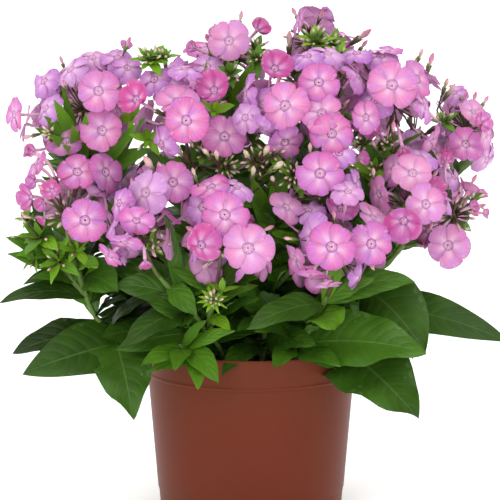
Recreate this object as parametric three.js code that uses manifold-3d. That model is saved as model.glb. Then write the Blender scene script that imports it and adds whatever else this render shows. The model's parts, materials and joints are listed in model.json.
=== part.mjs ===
// A compact garden phlox in a moulded nursery pot: pot, soil, leafy stems and flower heads.
// Millimetres, +Z up, origin on the ground under the middle of the pot, front of the plant towards -Y.

import * as THREE from "three";
import { mergeVertices } from "three/addons/utils/BufferGeometryUtils.js";
import Module from "manifold-3d";

const wasm = await Module();
wasm.setup();

const V = (x, y, z) => new THREE.Vector3(x, y, z);
const DEG = Math.PI / 180;
const UP = V(0, 0, 1);
const GOLDEN = 137.508 * DEG;

// ---- Driving dimensions ----

const POT = {
  rim: 71.5,        // outer radius at the lip
  height: 111,
  collar: 21,       // height of the band under the lip
  step: 1.0,        // how far the band stands out from the body
  taper: 4.78 * DEG,
  foot: 10,         // height of the stacking foot
  inset: 0.6,       // how far the foot is set back
  wall: 1.6,
  floor: 2.4,
  sides: 32,
  drains: 6,
  drainRadius: 4.5,
  drainRing: 44,
};
const SOIL_TOP = 98;
const GAP = 0.3;            // clearance of everything that stands in or next to something else
const STEM_SIDES = 4;
const STEM_STEP = 30;       // length of one straight piece of stem
const STEM_RADIUS = [2.1, 1.5];     // at the root and at the flower head
const CORE = 12;            // radius of the knot of branches and calyces inside a head
const THROAT = { radius: 1.7, dip: 1.2, depth: 3 };
const BUD = { radius: 2.4, tip: 8, sides: 3 };
const LEAF = { above: 0.4, fold: 0.22, root: -1.1 };

// ---- Placing by the front view ----

// The front of the plant is laid out as an eye in front of it sees it, 9 degrees above the horizon.
const EYE = { tilt: 9 * DEG, distance: 2000, aim: 174 };

function seen(across, up, depth) {
  const [sin, cos] = [Math.sin(EYE.tilt), Math.cos(EYE.tilt)];
  const rise = up - EYE.aim * cos;
  const lift = (rise + (rise * depth * cos) / EYE.distance - depth * sin) /
    (cos + (rise * sin) / EYE.distance);
  const range = EYE.distance + depth * cos - lift * sin;
  return V((across * range) / EYE.distance, depth, EYE.aim + lift);
}

function inView(point) {
  const [sin, cos] = [Math.sin(EYE.tilt), Math.cos(EYE.tilt)];
  const lift = point.z - EYE.aim;
  const scale = EYE.distance / (EYE.distance + point.y * cos - lift * sin);
  return [point.x * scale, EYE.aim * cos + (lift * cos + point.y * sin) * scale];
}

function facing(turn, tilt) {
  return V(
    Math.sin(turn * DEG) * Math.cos(tilt * DEG),
    -Math.cos(turn * DEG) * Math.cos(tilt * DEG),
    Math.sin(tilt * DEG),
  );
}

function randomSource(seed) {
  let state = seed;
  return () => {
    state = (state * 1664525 + 1013904223) % 4294967296;
    return state / 4294967296;
  };
}

// ---- Stems: runs of centre line, the first from the root, the others from a fork ----

const STEMS = [
  { name: "stem_left", runs: [
    [[-30, -12, 50], [-36, -15, 100], [-60, -27, 119], [-90, -38, 120], [-110, -43, 150], [-115, -26, 195],
      [-114, -24, 242]],
    [[-110, -43, 150], [-117, -56, 177]],
    [[-110, -43, 150], [-124, -46, 168], [-136, -44, 186]],
  ] },
  { name: "stem_front_left", runs: [
    [[-12, -26, 50], [-16, -34, 100], [-34, -56, 135], [-60, -74, 168]],
    [[-26, -46, 122], [-27, -68, 140], [-23, -84, 160]],
  ] },
  { name: "stem_mid_left", runs: [
    [[-10, -3, 50], [-13, -4, 100], [-24, -18, 160], [-34, -36, 205], [-40, -48, 238]],
    [[-24, -18, 160], [-18, -6, 220], [-13, 2, 280]],
  ] },
  { name: "stem_mid", runs: [
    [[5, -19, 50], [7, -24, 100], [12, -38, 150], [13, -44, 205], [14, -46, 242]],
    [[12, -38, 150], [30, -56, 174], [42, -63, 193]],
  ] },
  { name: "stem_mid_right", runs: [
    [[12, 2, 50], [15, 2, 100], [30, -8, 170], [42, -28, 215], [48, -42, 246]],
    [[30, -8, 170], [36, 12, 235], [40, 26, 290]],
  ] },
  { name: "stem_front_right", runs: [
    [[17, -30, 50], [22, -38, 100], [40, -62, 132], [50, -78, 156]],
  ] },
  { name: "stem_right", runs: [
    [[30, -12, 50], [36, -15, 100], [62, -26, 124], [78, -34, 160], [87, -32, 215], [92, -28, 248]],
    [[78, -34, 160], [92, -46, 174], [101, -54, 187]],
  ] },
  { name: "stem_far_right", runs: [
    [[34, 4, 50], [40, 4, 98], [62, 4, 126], [84, 3, 156], [106, 2, 188], [128, 6, 212], [143, 8, 232]],
    [[84, 3, 156], [99, -4, 176], [116, -10, 180], [131, -16, 184]],
  ] },
  { name: "stem_back_left", runs: [
    [[-30, 13, 50], [-36, 15, 100], [-60, 34, 130], [-88, 44, 165], [-108, 44, 205], [-118, 44, 226]],
    [[-60, 34, 130], [-74, 60, 160], [-82, 76, 185]],
  ] },
  { name: "stem_back_mid_left", runs: [
    [[-8, 20, 50], [-11, 26, 100], [-20, 46, 150], [-26, 58, 205], [-29, 66, 250]],
    [[-20, 46, 150], [-20, 76, 172], [-19, 94, 190]],
  ] },
  { name: "stem_back_mid_right", runs: [
    [[11, 22, 50], [15, 28, 100], [28, 50, 150], [44, 58, 205], [56, 62, 258]],
    [[28, 50, 150], [38, 76, 178], [43, 90, 200]],
  ] },
  { name: "stem_back_right", runs: [
    [[32, 19, 50], [38, 24, 100], [66, 42, 130], [90, 54, 170], [108, 58, 215]],
    [[66, 42, 130], [80, 68, 150], [89, 82, 168]],
  ] },
  { name: "shoot_front_left", runs: [
    [[-20, -36, 60], [-26, -44, 100], [-40, -58, 115], [-47, -66, 120]],
  ] },
];

// ---- Flower heads: where the knot sits, how far the florets stand out, and the florets in front ----
// A floret is [across, up, lift, turn, tilt, width, kind]: its place in the front view, how far it
// stands in front of the others, where it faces, and whether it is flat (f), a young deep-coloured
// cup (d), an older lilac one bent back (l) or half open (h).

const HEADS = [
  { name: "head_left_top", run: [0, 0], knot: [-112, -22, 272], reach: 32, florets: [
    [-104, 280, 2, 0, 12, 30, "f"], [-96, 293, -8, 10, 45, 28, "f"], [-101, 253, 2, 0, 20, 29, "f"],
    [-126, 246, 0, -15, 42, 27, "f"], [-123, 295, 0, -50, 40, 26, "l"], [-141, 287, 0, -45, 30, 24, "l"],
    [-108, 303, 0, 0, 60, 28, "l"], [-140, 268, 0, -55, 25, 25, "l"], [-161, 264, 0, -64, 5, 26, "f"],
    [-86, 308, 0, 40, 60, 14, "h"], [-149, 240, 0, -70, 10, 12, "h"], [-84, 248, -4, 70, 0, 27, "l"],
  ] },
  { name: "head_left_side", run: [0, 1], knot: [-121, -60, 206], reach: 26, florets: [
    [-118, 225, 2, -5, 35, 27, "f"], [-99, 225, 0, 45, 15, 28, "f"], [-113, 192, 2, 0, 5, 29, "f"],
    [-146, 229, 0, -70, 25, 22, "f"], [-149, 208, 0, -75, 0, 20, "d"],
  ] },
  { name: "head_mid_left", run: [2, 0], knot: [-44, -54, 265], reach: 29, florets: [
    [-44, 260, 4, 0, 12, 31, "f"], [-50, 273, -4, -8, 45, 29, "f"], [-18, 249, 0, 10, 9, 31, "f"],
    [-25, 280, 0, -20, 40, 27, "d"], [-61, 244, 0, -60, -5, 26, "l"], [-56, 283, -6, -35, 50, 29, "l"],
    [-45, 295, 0, 0, 75, 26, "l"], [-78, 274, 8, -40, 25, 26, "d"],
  ] },
  { name: "head_crown_left", run: [2, 1], knot: [-12, 6, 304], reach: 24, florets: [
    [-15, 314, 2, 0, 15, 29, "f"], [4, 321, 0, 35, 35, 22, "h"], [-38, 309, 0, -60, 25, 14, "h"],
  ] },
  { name: "head_mid", run: [3, 0], knot: [12, -48, 268], reach: 28, florets: [
    [16, 295, 0, 30, 40, 27, "d"], [23, 270, 3, 5, 10, 32, "f"], [8, 271, -5, -30, 15, 28, "l"],
    [-4, 279, 0, -70, 10, 27, "l"], [6, 255, 0, -40, -40, 22, "l"], [23, 245, 0, 15, -30, 26, "f"],
  ] },
  { name: "head_mid_right", run: [4, 0], knot: [52, -48, 272], reach: 28, florets: [
    [46, 286, 3, 0, 15, 29, "f"], [48, 265, 0, 0, 30, 28, "f"], [55, 251, 6, 5, 12, 30, "f"],
    [38, 304, 0, -20, 65, 27, "l"], [52, 306, -4, 20, 65, 26, "l"], [73, 291, 0, 70, 30, 27, "l"],
  ] },
  { name: "head_crown_right", run: [4, 1], knot: [40, 32, 313], reach: 22, florets: [
    [45, 331, 0, 165, 36, 29, "l"], [33, 328, 0, -75, 20, 20, "f"],
  ] },
  { name: "head_front_left", run: [1, 0], knot: [-71, -84, 198], reach: 30, florets: [
    [-72, 211, 0, -35, 15, 32, "l"], [-53, 218, 2, 15, 12, 29, "f"], [-78, 192, 2, -10, -25, 24, "f"],
    [-86, 177, 0, -20, -60, 24, "f"], [-96, 168, 0, -50, -40, 20, "f"], [-72, 165, 0, 10, -60, 14, "h"],
  ] },
  { name: "head_front_mid", run: [1, 1], knot: [-19, -96, 190], reach: 29, florets: [
    [-18, 196, 3, 0, 9, 32, "f"], [-33, 201, -3, -35, 10, 29, "l"], [-27, 215, 0, -20, 60, 27, "f"],
    [-10, 215, 0, 30, 60, 25, "l"], [-34, 175, 0, 35, 20, 28, "d"], [-2, 173, 4, 0, 9, 33, "f"],
  ] },
  { name: "head_front_gap", run: [3, 1], knot: [49, -70, 218], reach: 27, florets: [
    [47, 224, 3, 0, 9, 31, "f"], [72, 233, 0, 65, 20, 18, "h"], [71, 215, -6, 60, 0, 24, "l"],
  ] },
  { name: "head_front_right", run: [5, 0], knot: [56, -86, 182], reach: 31, florets: [
    [55, 174, 3, 0, 9, 32, "f"], [42, 182, -3, -40, 10, 30, "l"], [82, 176, 2, 12, 9, 29, "f"],
    [24, 201, 0, 35, 35, 25, "f"], [61, 200, 0, 25, 35, 27, "d"], [39, 199, -2, -20, 60, 24, "l"],
    [30, 166, 0, -60, -20, 22, "f"], [42, 154, 0, -20, -65, 22, "f"], [51, 148, 0, 15, -65, 20, "f"],
    [83, 194, 0, 45, 40, 24, "f"],
  ] },
  { name: "head_right_top", run: [6, 0], knot: [95, -24, 276], reach: 31, florets: [
    [96, 284, 3, 0, 20, 34, "f"], [113, 288, -2, 45, 25, 28, "f"], [84, 274, 0, -10, 40, 28, "l"],
    [68, 265, 2, -40, 30, 26, "f"], [93, 307, 0, 0, 85, 22, "f"], [118, 270, 0, 70, 20, 26, "l"],
    [123, 246, 4, 60, -20, 22, "f"],
  ] },
  { name: "head_right_edge", run: [7, 0], knot: [146, 8, 255], reach: 24, florets: [
    [138, 279, 0, -10, 60, 22, "l"], [151, 266, 0, 30, 35, 20, "f"], [160, 250, 0, 60, 0, 22, "f"],
    [146, 244, 2, -20, -15, 26, "f"], [161, 233, 0, 50, -20, 26, "l"],
  ] },
  { name: "head_right_front", run: [6, 1], knot: [105, -58, 211], reach: 26, florets: [
    [110, 224, 2, 5, 35, 28, "f"], [115, 235, -6, 20, 60, 26, "l"], [97, 227, 0, -50, 20, 24, "f"],
    [87, 210, 0, -60, -10, 26, "f"], [119, 203, 2, 10, 9, 28, "f"], [104, 192, 0, -10, -25, 28, "d"],
  ] },
  { name: "head_right_low", run: [7, 1], knot: [136, -18, 200], reach: 26, florets: [
    [134, 175, 6, 0, 5, 30, "f"], [138, 222, 0, 60, 30, 22, "l"], [134, 234, 0, 10, 70, 16, "h"],
  ] },
  { name: "head_back_left_top", run: [8, 0], knot: [-124, 44, 252], reach: 31, florets: [] },
  { name: "head_back_left_low", run: [8, 1], knot: [-86, 84, 211], reach: 31, florets: [] },
  { name: "head_back_mid_left_top", run: [9, 0], knot: [-31, 70, 277], reach: 31, florets: [] },
  { name: "head_back_mid_left_low", run: [9, 1], knot: [-19, 103, 214], reach: 31, florets: [] },
  { name: "head_back_mid_right_top", run: [10, 0], knot: [60, 65, 285], reach: 31, florets: [] },
  { name: "head_back_mid_right_low", run: [10, 1], knot: [46, 98, 226], reach: 31, florets: [] },
  { name: "head_back_right_top", run: [11, 0], knot: [113, 60, 241], reach: 31, florets: [] },
  { name: "head_back_right_low", run: [11, 1], knot: [94, 91, 194], reach: 31, florets: [] },
];

// ---- Leaves in front: [stem, run, height, across, up, depth, width, arch, face] ----
// The base is on the stem's run at that height, the tip is placed in the front view at that depth,
// and face is how far the blade's upper side is turned from the sky to the front.

const FRONT_LEAVES = [
  [0, 0, 149, -171, 136, -66, 17, 11, 42],
  [0, 0, 158, -155, 148, -60, 12, 14, 40],
  [0, 0, 161, -90, 143, -84, 26, 8, 70],
  [0, 0, 122, -162, 102, -76, 26, 10, 50],
  [0, 0, 119, -155, 88, -92, 43, 7, 62],
  [0, 0, 122, -80, 57, -104, 42, 14, 52],
  [1, 0, 142, -88, 105, -100, 22, 12, 50],
  [12, 0, 117, -75, 93, -96, 14, 6, 50],
  [12, 0, 118, -52, 90, -104, 14, 6, 40],
  [12, 0, 117, -22, 81, -106, 17, 8, 55],
  [12, 0, 113, -68, 89, -82, 16, 4, 50],
  [12, 0, 112, -36, 77, -104, 16, 8, 50],
  [12, 0, 118, -11, 117, -92, 10, 4, 60],
  [12, 0, 119, -30, 124, -86, 8, 4, 60],
  [1, 0, 160, -37, 127, -98, 16, 4, 70],
  [3, 0, 128, -9, 117, -96, 13, 5, 60],
  [5, 0, 150, -3, 118, -112, 22, 8, 50],
  [3, 0, 114, 44, 107, -96, 20, 8, 60],
  [3, 0, 112, -20, 86, -82, 18, 12, 50],
  [5, 0, 114, 16, 91, -94, 16, 8, 50],
  [5, 0, 142, 57, 117, -106, 28, 6, 60],
  [1, 0, 152, -94, 148, -72, 20, 6, 60],
  [3, 0, 134, -14, 152, -70, 16, 2, 70],
  [3, 0, 146, 24, 158, -86, 18, 6, 60],
  [5, 0, 112, 61, 93, -95, 18, 6, 40],
  [5, 0, 151, 112, 150, -84, 21, 13, 52],
  [6, 0, 152, 119, 102, -80, 46, 12, 65],
  [7, 0, 134, 176, 109, -28, 29, 14, 65],
  [5, 0, 117, 119, 102, -100, 42, 10, 60],
  [6, 0, 114, 114, 57, -92, 54, 13, 54],
  [7, 1, 180.6, 101, 177, -40, 12, 4, 40],
  [6, 0, 200, 66, 230, -34, 18, 4, 70],
  [0, 0, 200, -80, 236, -34, 18, 6, 60],
  [0, 2, 166, -167, 181, -52, 12, 5, 50],
  [0, 2, 164, -166, 169, -58, 13, 6, 50],
  [0, 2, 176, -150, 208, -48, 9, 3, 60],
  [0, 2, 160, -150, 152, -72, 10, 6, 50],
];

// ---- Layout ----

const CURVES = STEMS.map((stem) => stem.runs.map((run) => new THREE.CatmullRomCurve3(
  run.map(([x, y, z]) => V(x, y, z)), false, "catmullrom", 0.5)));

function atHeight(curve, height) {
  const steps = 200;
  for (let i = 0; i < steps; i += 1) {
    const point = curve.getPoint(i / steps);
    if (point.z >= height) return point;
  }
  return curve.getPoint(1);
}

function placeFrontFlorets(head) {
  const knot = V(...head.knot);
  return head.florets.map(([across, up, lift, turn, tilt, width, kind]) => {
    const flat = seen(across, up, knot.y);
    const side = head.reach ** 2 - (flat.x - knot.x) ** 2 - (flat.z - knot.z) ** 2;
    const back = tilt > 70 || Math.abs(turn) > 90 ? -0.4 : 1;
    const depth = knot.y - Math.sqrt(Math.max(0, side)) * back - lift;
    return { centre: seen(across, up, depth), facing: facing(turn, tilt), width, kind, spin: across };
  });
}

const within = (windows, point) => {
  const [across, up] = inView(point);
  return windows.some(([left, right, low, high]) => across > left && across < right && up > low && up < high);
};

// Places where the front view is open between the heads: [left, right, low, high].
const AIRY = [[94, 126, 244, 268], [157, 180, 190, 228], [12, 28, 300, 335], [158, 184, 254, 280],
  [144, 180, 168, 206]];
const CROWN = { tries: 24, spread: 1.3, apart: 25, clear: 21 };

function placeOtherFlorets(head, index, placed, random) {
  const knot = V(...head.knot);
  const inFront = head.florets.length > 0;
  for (let i = 0; i < CROWN.tries; i += 1) {
    const polar = Math.acos(1 - ((i + 0.5) / CROWN.tries) * CROWN.spread);
    const around = i * GOLDEN + index;
    const out = V(Math.sin(polar) * Math.cos(around), Math.sin(polar) * Math.sin(around), Math.cos(polar));
    const [wobble, sort, size] = [random(), random(), random()];
    if (out.y < (inFront ? 0.1 : -0.45)) continue;
    const centre = knot.clone().addScaledVector(out, head.reach * (0.94 + 0.12 * wobble));
    const near = placed.some((other) =>
      other.centre.distanceTo(centre) < (other.head === index ? CROWN.apart : CROWN.clear));
    if (near || within(AIRY, centre)) continue;
    const kind = sort < 0.62 ? "f" : sort < 0.85 ? "l" : "d";
    const face = out.clone().add(V(0, 0, 0.25)).normalize();
    placed.push({ head: index, centre, facing: face, width: 26 + 4 * size, kind, spin: 360 * wobble });
  }
}

const BUDS = { tries: 17, spread: 1.6, most: 2, past: 3, clear: 14, apart: 9 };

function placeBuds(head, index, placed, buds, random) {
  const knot = V(...head.knot);
  let count = 0;
  for (let i = 0; i < BUDS.tries && count < BUDS.most; i += 1) {
    const polar = Math.acos(1 - ((i + 0.3) / BUDS.tries) * BUDS.spread);
    const around = i * GOLDEN + 2 * index + 1;
    const out = V(Math.sin(polar) * Math.cos(around), Math.sin(polar) * Math.sin(around), Math.cos(polar));
    const tip = knot.clone().addScaledVector(out, head.reach + BUDS.past + 6 * random());
    if (placed.some((other) => other.centre.distanceTo(tip) < BUDS.clear)) continue;
    if (buds.some((other) => other.tip.distanceTo(tip) < BUDS.apart)) continue;
    buds.push({ head: index, tip });
    count += 1;
  }
}

const florets = [];
HEADS.forEach((head, index) => {
  placeFrontFlorets(head).forEach((floret) => florets.push({ head: index, ...floret }));
});
const random = randomSource(11);
HEADS.forEach((head, index) => placeOtherFlorets(head, index, florets, random));
const buds = [];
HEADS.forEach((head, index) => placeBuds(head, index, florets, buds, random));

// Room already taken, as balls: florets and their tubes, stems, then each leaf as it is placed.
const taken = [];
const take = (centre, radius) => taken.push({ centre, radius });

florets.forEach(({ head, centre, facing: face, width }) => {
  const knot = V(...HEADS[head].knot);
  const turn = new THREE.Quaternion().setFromUnitVectors(UP, face);
  take(centre, 5);
  for (let i = 0; i < 6; i += 1) {
    const spoke = V(0.34 * width * Math.cos((i * Math.PI) / 3), 0.34 * width * Math.sin((i * Math.PI) / 3), 0);
    take(spoke.applyQuaternion(turn).add(centre), 4.5);
  }
  for (const share of [0.25, 0.5, 0.75]) take(centre.clone().lerp(knot, share), 2.5);
});
HEADS.forEach((head) => take(V(...head.knot), CORE));
CURVES.flat().forEach((curve) => {
  for (let i = 2; i <= 30; i += 1) take(curve.getPoint(i / 30), 2.5);
});

function midribOf({ base, tip, arch }) {
  const control = base.clone().lerp(tip, 0.45).addScaledVector(UP, arch);
  const foot = base.clone().addScaledVector(control.clone().sub(base).normalize(), LEAF.root);
  return new THREE.QuadraticBezierCurve3(foot, control, tip);
}

function leafPoints(leaf) {
  const midrib = midribOf(leaf);
  return [0.3, 0.48, 0.66, 0.84, 1].flatMap((share) => {
    const centre = midrib.getPoint(share);
    const side = midrib.getTangent(share).cross(leaf.normal).normalize();
    const half = 0.4 * leaf.width * Math.sin(Math.PI * Math.min(0.9, share));
    return [-half, 0, half].map((across) => centre.clone().addScaledVector(side, across));
  });
}

// Places where the front view is open between the leaves: [left, right, low, high].
const OPEN = [
  [92, 180, 150, 172], [112, 180, 40, 118], [150, 180, 138, 226], [-180, -106, 124, 135],
  [-180, -152, 150, 330], [-180, -98, 0, 84], [102, 118, 251, 262], [120, 131, 217, 238],
];

const LEAF_ROOM = 3;
const overPot = (point) => Math.hypot(point.x, point.y) > POT.rim + 4 || point.z > POT.height + 3;
const isClear = (leaf) => leafPoints(leaf).every((point) => overPot(point) && !within(OPEN, point) &&
  taken.every((ball) => ball.centre.distanceTo(point) > ball.radius + LEAF_ROOM));

const leaves = [];
function addLeaf(leaf) {
  leaves.push(leaf);
  leafPoints(leaf).forEach((point) => take(point, LEAF_ROOM));
}

FRONT_LEAVES.forEach(([stem, run, height, across, up, depth, width, arch, face]) => addLeaf({
  stem, base: atHeight(CURVES[stem][run], height), tip: seen(across, up, depth), width, arch,
  normal: V(0, -Math.sin(face * DEG), Math.cos(face * DEG)),
}));

// The other leaves stand in crossed pairs at these heights up each stem, shorter towards the
// flowers. Each takes the first of a few turns and leans that is clear of what stands there already.
const NODES = [[114, 92], [131, 86], [150, 76], [172, 62], [196, 52]];      // height, leaf length
const LEANS = { low: -0.22, high: 0.4, spread: 0.35 };
const SPREAD = { side: 166, back: 142, front: 90 };     // how far tips reach from the middle
const TRIES = 8;

function placeOtherLeaf(stem, base, turn, length) {
  const rise = (base.z - NODES[0][0]) / (NODES.at(-1)[0] - NODES[0][0]);
  for (let i = 0; i < TRIES; i += 1) {
    const [swing, lean, size] = [random(), random(), random()];
    const out = facing(turn + (swing - 0.5) * 16 * i, 0);
    const reach = length * (0.85 + 0.25 * size) * (1 - 0.05 * i);
    const climb = LEANS.low + (LEANS.high - LEANS.low) * rise + LEANS.spread * (lean - 0.5);
    const tip = base.clone().addScaledVector(out, reach * 0.92).addScaledVector(UP, reach * climb);
    const middle = base.clone().add(tip).setZ(0).normalize();
    const normal = UP.clone().multiplyScalar(0.7).addScaledVector(middle, 0.7);
    const leaf = { stem, base, tip, width: reach * 0.33, arch: reach * 0.18, normal };
    const outside = Math.hypot(tip.x / SPREAD.side, tip.y / (tip.y < 0 ? SPREAD.front : SPREAD.back)) > 1;
    if (!outside && isClear(leaf)) {
      addLeaf(leaf);
      return;
    }
  }
}

CURVES.forEach((runs, stem) => runs.forEach((curve, run) => {
  if (STEMS[stem].name.startsWith("shoot")) return;
  const [start, end] = [curve.getPoint(0).z, curve.getPoint(1).z];
  NODES.forEach(([height, length], level) => {
    if (height < start + 4 || height > end - 12) return;
    const base = atHeight(curve, height + 3 * (stem % 3));
    const turn = 47 * stem + 90 * (level + run);
    for (const flip of [0, 180]) placeOtherLeaf(stem, base, turn + flip, length);
  });
}));

// ---- Solids ----

function solid(points, faces) {
  let volume = 0;
  for (const [a, b, c] of faces) {
    volume += points[a].dot(points[b].clone().cross(points[c]));
  }
  const outward = volume > 0 ? faces : faces.map(([a, b, c]) => [a, c, b]);
  return new wasm.Manifold(new wasm.Mesh({
    numProp: 3,
    vertProperties: new Float32Array(points.flatMap((p) => [p.x, p.y, p.z])),
    triVerts: new Uint32Array(outward.flat()),
  }));
}

function solidOf(geometry) {
  geometry.deleteAttribute("normal");
  geometry.deleteAttribute("uv");
  const merged = mergeVertices(geometry, 1e-4);
  const position = merged.getAttribute("position");
  const points = Array.from({ length: position.count }, (_, i) => V().fromBufferAttribute(position, i));
  const index = merged.getIndex();
  const faces = [];
  for (let i = 0; i < index.count; i += 3) {
    const [a, b, c] = [index.getX(i), index.getX(i + 1), index.getX(i + 2)];
    if (a !== b && b !== c && c !== a) faces.push([a, b, c]);
  }
  return solid(points, faces);
}

// Rings of equal count joined in order; each end is closed by a fan about its second point.
function loft(rings) {
  const count = rings[0].length;
  const faces = [];
  for (let i = 0; i < rings.length - 1; i += 1) {
    for (let j = 0; j < count; j += 1) {
      const a = i * count + j;
      const b = i * count + ((j + 1) % count);
      faces.push([a, b, b + count], [a, b + count, a + count]);
    }
  }
  const last = (rings.length - 1) * count;
  for (let j = 2; j < count; j += 1) {
    const k = (j + 1) % count;
    faces.push([1, k, j], [last + 1, last + j, last + k]);
  }
  return solid(rings.flat(), faces);
}

function polygon(centre, side, across, radius, sides) {
  return Array.from({ length: sides }, (_, i) => {
    const angle = (2 * Math.PI * i) / sides;
    return centre.clone().addScaledVector(side, radius * Math.cos(angle))
      .addScaledVector(across, radius * Math.sin(angle));
  });
}

// A tapering tube along a curve; one that is rooted runs straight to the curve's second point first.
function tube(curve, radii, grow = 0, rooted = false) {
  const straight = rooted ? 1 / (curve.points.length - 1) : 0;
  const steps = Math.max(1, Math.round((curve.getLength() * (1 - straight)) / STEM_STEP));
  const shares = Array.from({ length: steps + 1 }, (_, i) => straight + ((1 - straight) * i) / steps);
  if (rooted) shares.unshift(0);
  const side = V(1, 0, 0);
  const rings = shares.map((share) => {
    const tangent = curve.getTangent(share);
    side.addScaledVector(tangent, -side.dot(tangent)).normalize();
    const across = tangent.clone().cross(side);
    const radius = radii[0] + (radii[1] - radii[0]) * share + grow;
    const past = share === 0 ? -grow : share === 1 ? grow : 0;
    const centre = curve.getPoint(share).addScaledVector(tangent, past);
    return polygon(centre, side, across, radius, STEM_SIDES);
  });
  return loft(rings);
}

const CUP = { f: [1, 0.5], d: [0.84, 6], l: [0.97, -2.5], h: [0.8, 5] };

// The outline of a floret's five lobes: a notch and two shoulders for each open flat, a notch and a
// tip for each that is cupped, bent back or half open.
const FLAT_LOBE = [[-36, 0.7], [-17, 0.98], [17, 1.02]];
const BENT_LOBE = [[-36, 0.76], [0, 1.06]];

function rim(floret, grow, raise) {
  const [spread, lift] = CUP[floret.kind];
  const turn = new THREE.Quaternion().setFromUnitVectors(UP, floret.facing);
  const lobe = floret.kind === "f" ? FLAT_LOBE : BENT_LOBE;
  return [0, 1, 2, 3, 4].flatMap((petal) => lobe.map(([angle, out]) => {
    const around = (72 * petal + angle + floret.spin) * DEG;
    const reach = (floret.width / 2) * spread * out + grow;
    return V(reach * Math.cos(around), reach * Math.sin(around), lift * out * out + raise)
      .applyQuaternion(turn).add(floret.centre);
  }));
}

function throatRing(floret, count, radius, depth) {
  const turn = new THREE.Quaternion().setFromUnitVectors(UP, floret.facing);
  return Array.from({ length: count }, (_, i) => {
    const around = ((360 / count) * (i + (count === 3 ? 0.5 : 0)) - 36 + floret.spin) * DEG;
    return V(radius * Math.cos(around), radius * Math.sin(around), -depth)
      .applyQuaternion(turn).add(floret.centre);
  });
}

// A floret: the lobed disc, its underside drawn in to the throat, and a tube tapering to the knot.
function floretSolid(floret, knot) {
  const edge = rim(floret, 0, 0);
  const count = edge.length;
  const throat = throatRing(floret, 3, THROAT.radius, THROAT.depth);
  const [eye] = throatRing(floret, 1, 0, THROAT.dip);
  const points = [...edge, ...throat, eye, knot];
  const [eyeIndex, knotIndex] = [count + 3, count + 4];
  const below = (i) => count + Math.floor((3 * i) / count);
  const faces = [];
  for (let i = 0; i < count; i += 1) {
    const next = (i + 1) % count;
    faces.push([eyeIndex, i, next], [next, i, below(i)]);
    if (below(next) !== below(i)) {
      faces.push([next, below(i), below(next)], [below(next), below(i), knotIndex]);
    }
  }
  return solid(points, faces);
}

function floretRoom(floret, knot) {
  const edge = rim(floret, GAP, GAP + 0.1);
  const count = edge.length;
  return loft([
    throatRing(floret, count, 0.5, THROAT.dip - 2 * GAP),
    edge,
    rim(floret, GAP, -GAP - 0.1),
    throatRing(floret, count, THROAT.radius + GAP + 0.1, THROAT.depth + GAP),
    throatRing({ ...floret, centre: knot }, count, GAP + 0.2, 0),
  ]);
}

function budSolid(bud, knot, grow = 0) {
  const along = bud.tip.clone().sub(knot);
  const length = along.length();
  along.normalize();
  const side = along.clone().cross(V(0.3, 0.2, 1)).normalize();
  const across = along.clone().cross(side);
  const ring = (distance, radius) =>
    polygon(knot.clone().addScaledVector(along, distance), side, across, radius, BUD.sides);
  if (grow > 0) {
    return loft([ring(0, grow), ring(length - BUD.tip, BUD.radius + 2 * grow), ring(length + grow, grow)]);
  }
  const points = [knot, ...ring(length - BUD.tip, BUD.radius), bud.tip];
  const last = BUD.sides + 1;
  const faces = [];
  for (let i = 0; i < BUD.sides; i += 1) {
    const [a, b] = [1 + i, 1 + ((i + 1) % BUD.sides)];
    faces.push([0, a, b], [last, b, a]);
  }
  return solid(points, faces);
}

// Share of the length, share of the half width, and depth of the midrib under the blade.
const BLADE = [[0.16, 0.62, 1.6], [0.45, 1, 0.9], [0.76, 0.66, 0.9]];

// A leaf: a blade folded along its midrib, drawn to a point at the tip and inside the stem.
function leafSolid(leaf, grow = 0) {
  const midrib = midribOf(leaf);
  const sections = BLADE.map(([share, wide, below]) => {
    const tangent = midrib.getTangent(share);
    const normal = leaf.normal.clone().addScaledVector(tangent, -leaf.normal.dot(tangent)).normalize();
    const side = tangent.clone().cross(normal);
    const half = (leaf.width / 2) * wide + grow;
    const rise = LEAF.fold * half;
    const centre = midrib.getPoint(share);
    const at = (across, high) =>
      centre.clone().addScaledVector(side, across).addScaledVector(normal, high);
    if (grow === 0) return [at(-half, rise), at(0, LEAF.above), at(half, rise), at(0, -below)];
    return [at(-half, rise + grow), at(0, LEAF.above + grow), at(half, rise + grow),
      at(half, rise - grow), at(0, -below - grow), at(-half, rise - grow)];
  });
  if (grow > 0) {
    const end = (at, ring) => ring.map((point) => at.clone().add(
      point.clone().sub(at).setLength(grow)));
    return loft([end(midrib.getPoint(0), sections[0]), ...sections, end(leaf.tip, sections.at(-1))]);
  }
  const points = [midrib.getPoint(0), ...sections.flat(), leaf.tip];
  const last = points.length - 1;
  const faces = [];
  for (let j = 0; j < 4; j += 1) {
    const next = (j + 1) % 4;
    faces.push([0, 1 + next, 1 + j], [last, last - 4 + j, last - 4 + next]);
  }
  for (let first = 1; first < last - 4; first += 4) {
    const [l, t, r, b] = [first, first + 1, first + 2, first + 3];
    faces.push([l, t, t + 4], [l, t + 4, l + 4], [t, r, r + 4], [t, r + 4, t + 4]);
    faces.push([b, l, l + 4], [b, l + 4, b + 4], [r, b, b + 4], [r, b + 4, r + 4]);
  }
  return solid(points, faces);
}

function coreSolid(head) {
  const knot = V(...head.knot);
  const geometry = new THREE.OctahedronGeometry(CORE, 0);
  geometry.translate(knot.x, knot.y, knot.z);
  return solidOf(geometry);
}

function peduncle(head) {
  const [stem, run] = head.run;
  const curve = CURVES[stem][run];
  const end = curve.getPoint(1);
  const direction = curve.getTangent(1);
  const start = end.clone().addScaledVector(direction, GAP);
  const bend = start.clone().addScaledVector(direction, end.distanceTo(V(...head.knot)) / 3);
  return new THREE.QuadraticBezierCurve3(start, bend, V(...head.knot));
}

// ---- Trimming: a blade that would cross a neighbour ends just short of it ----

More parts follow.
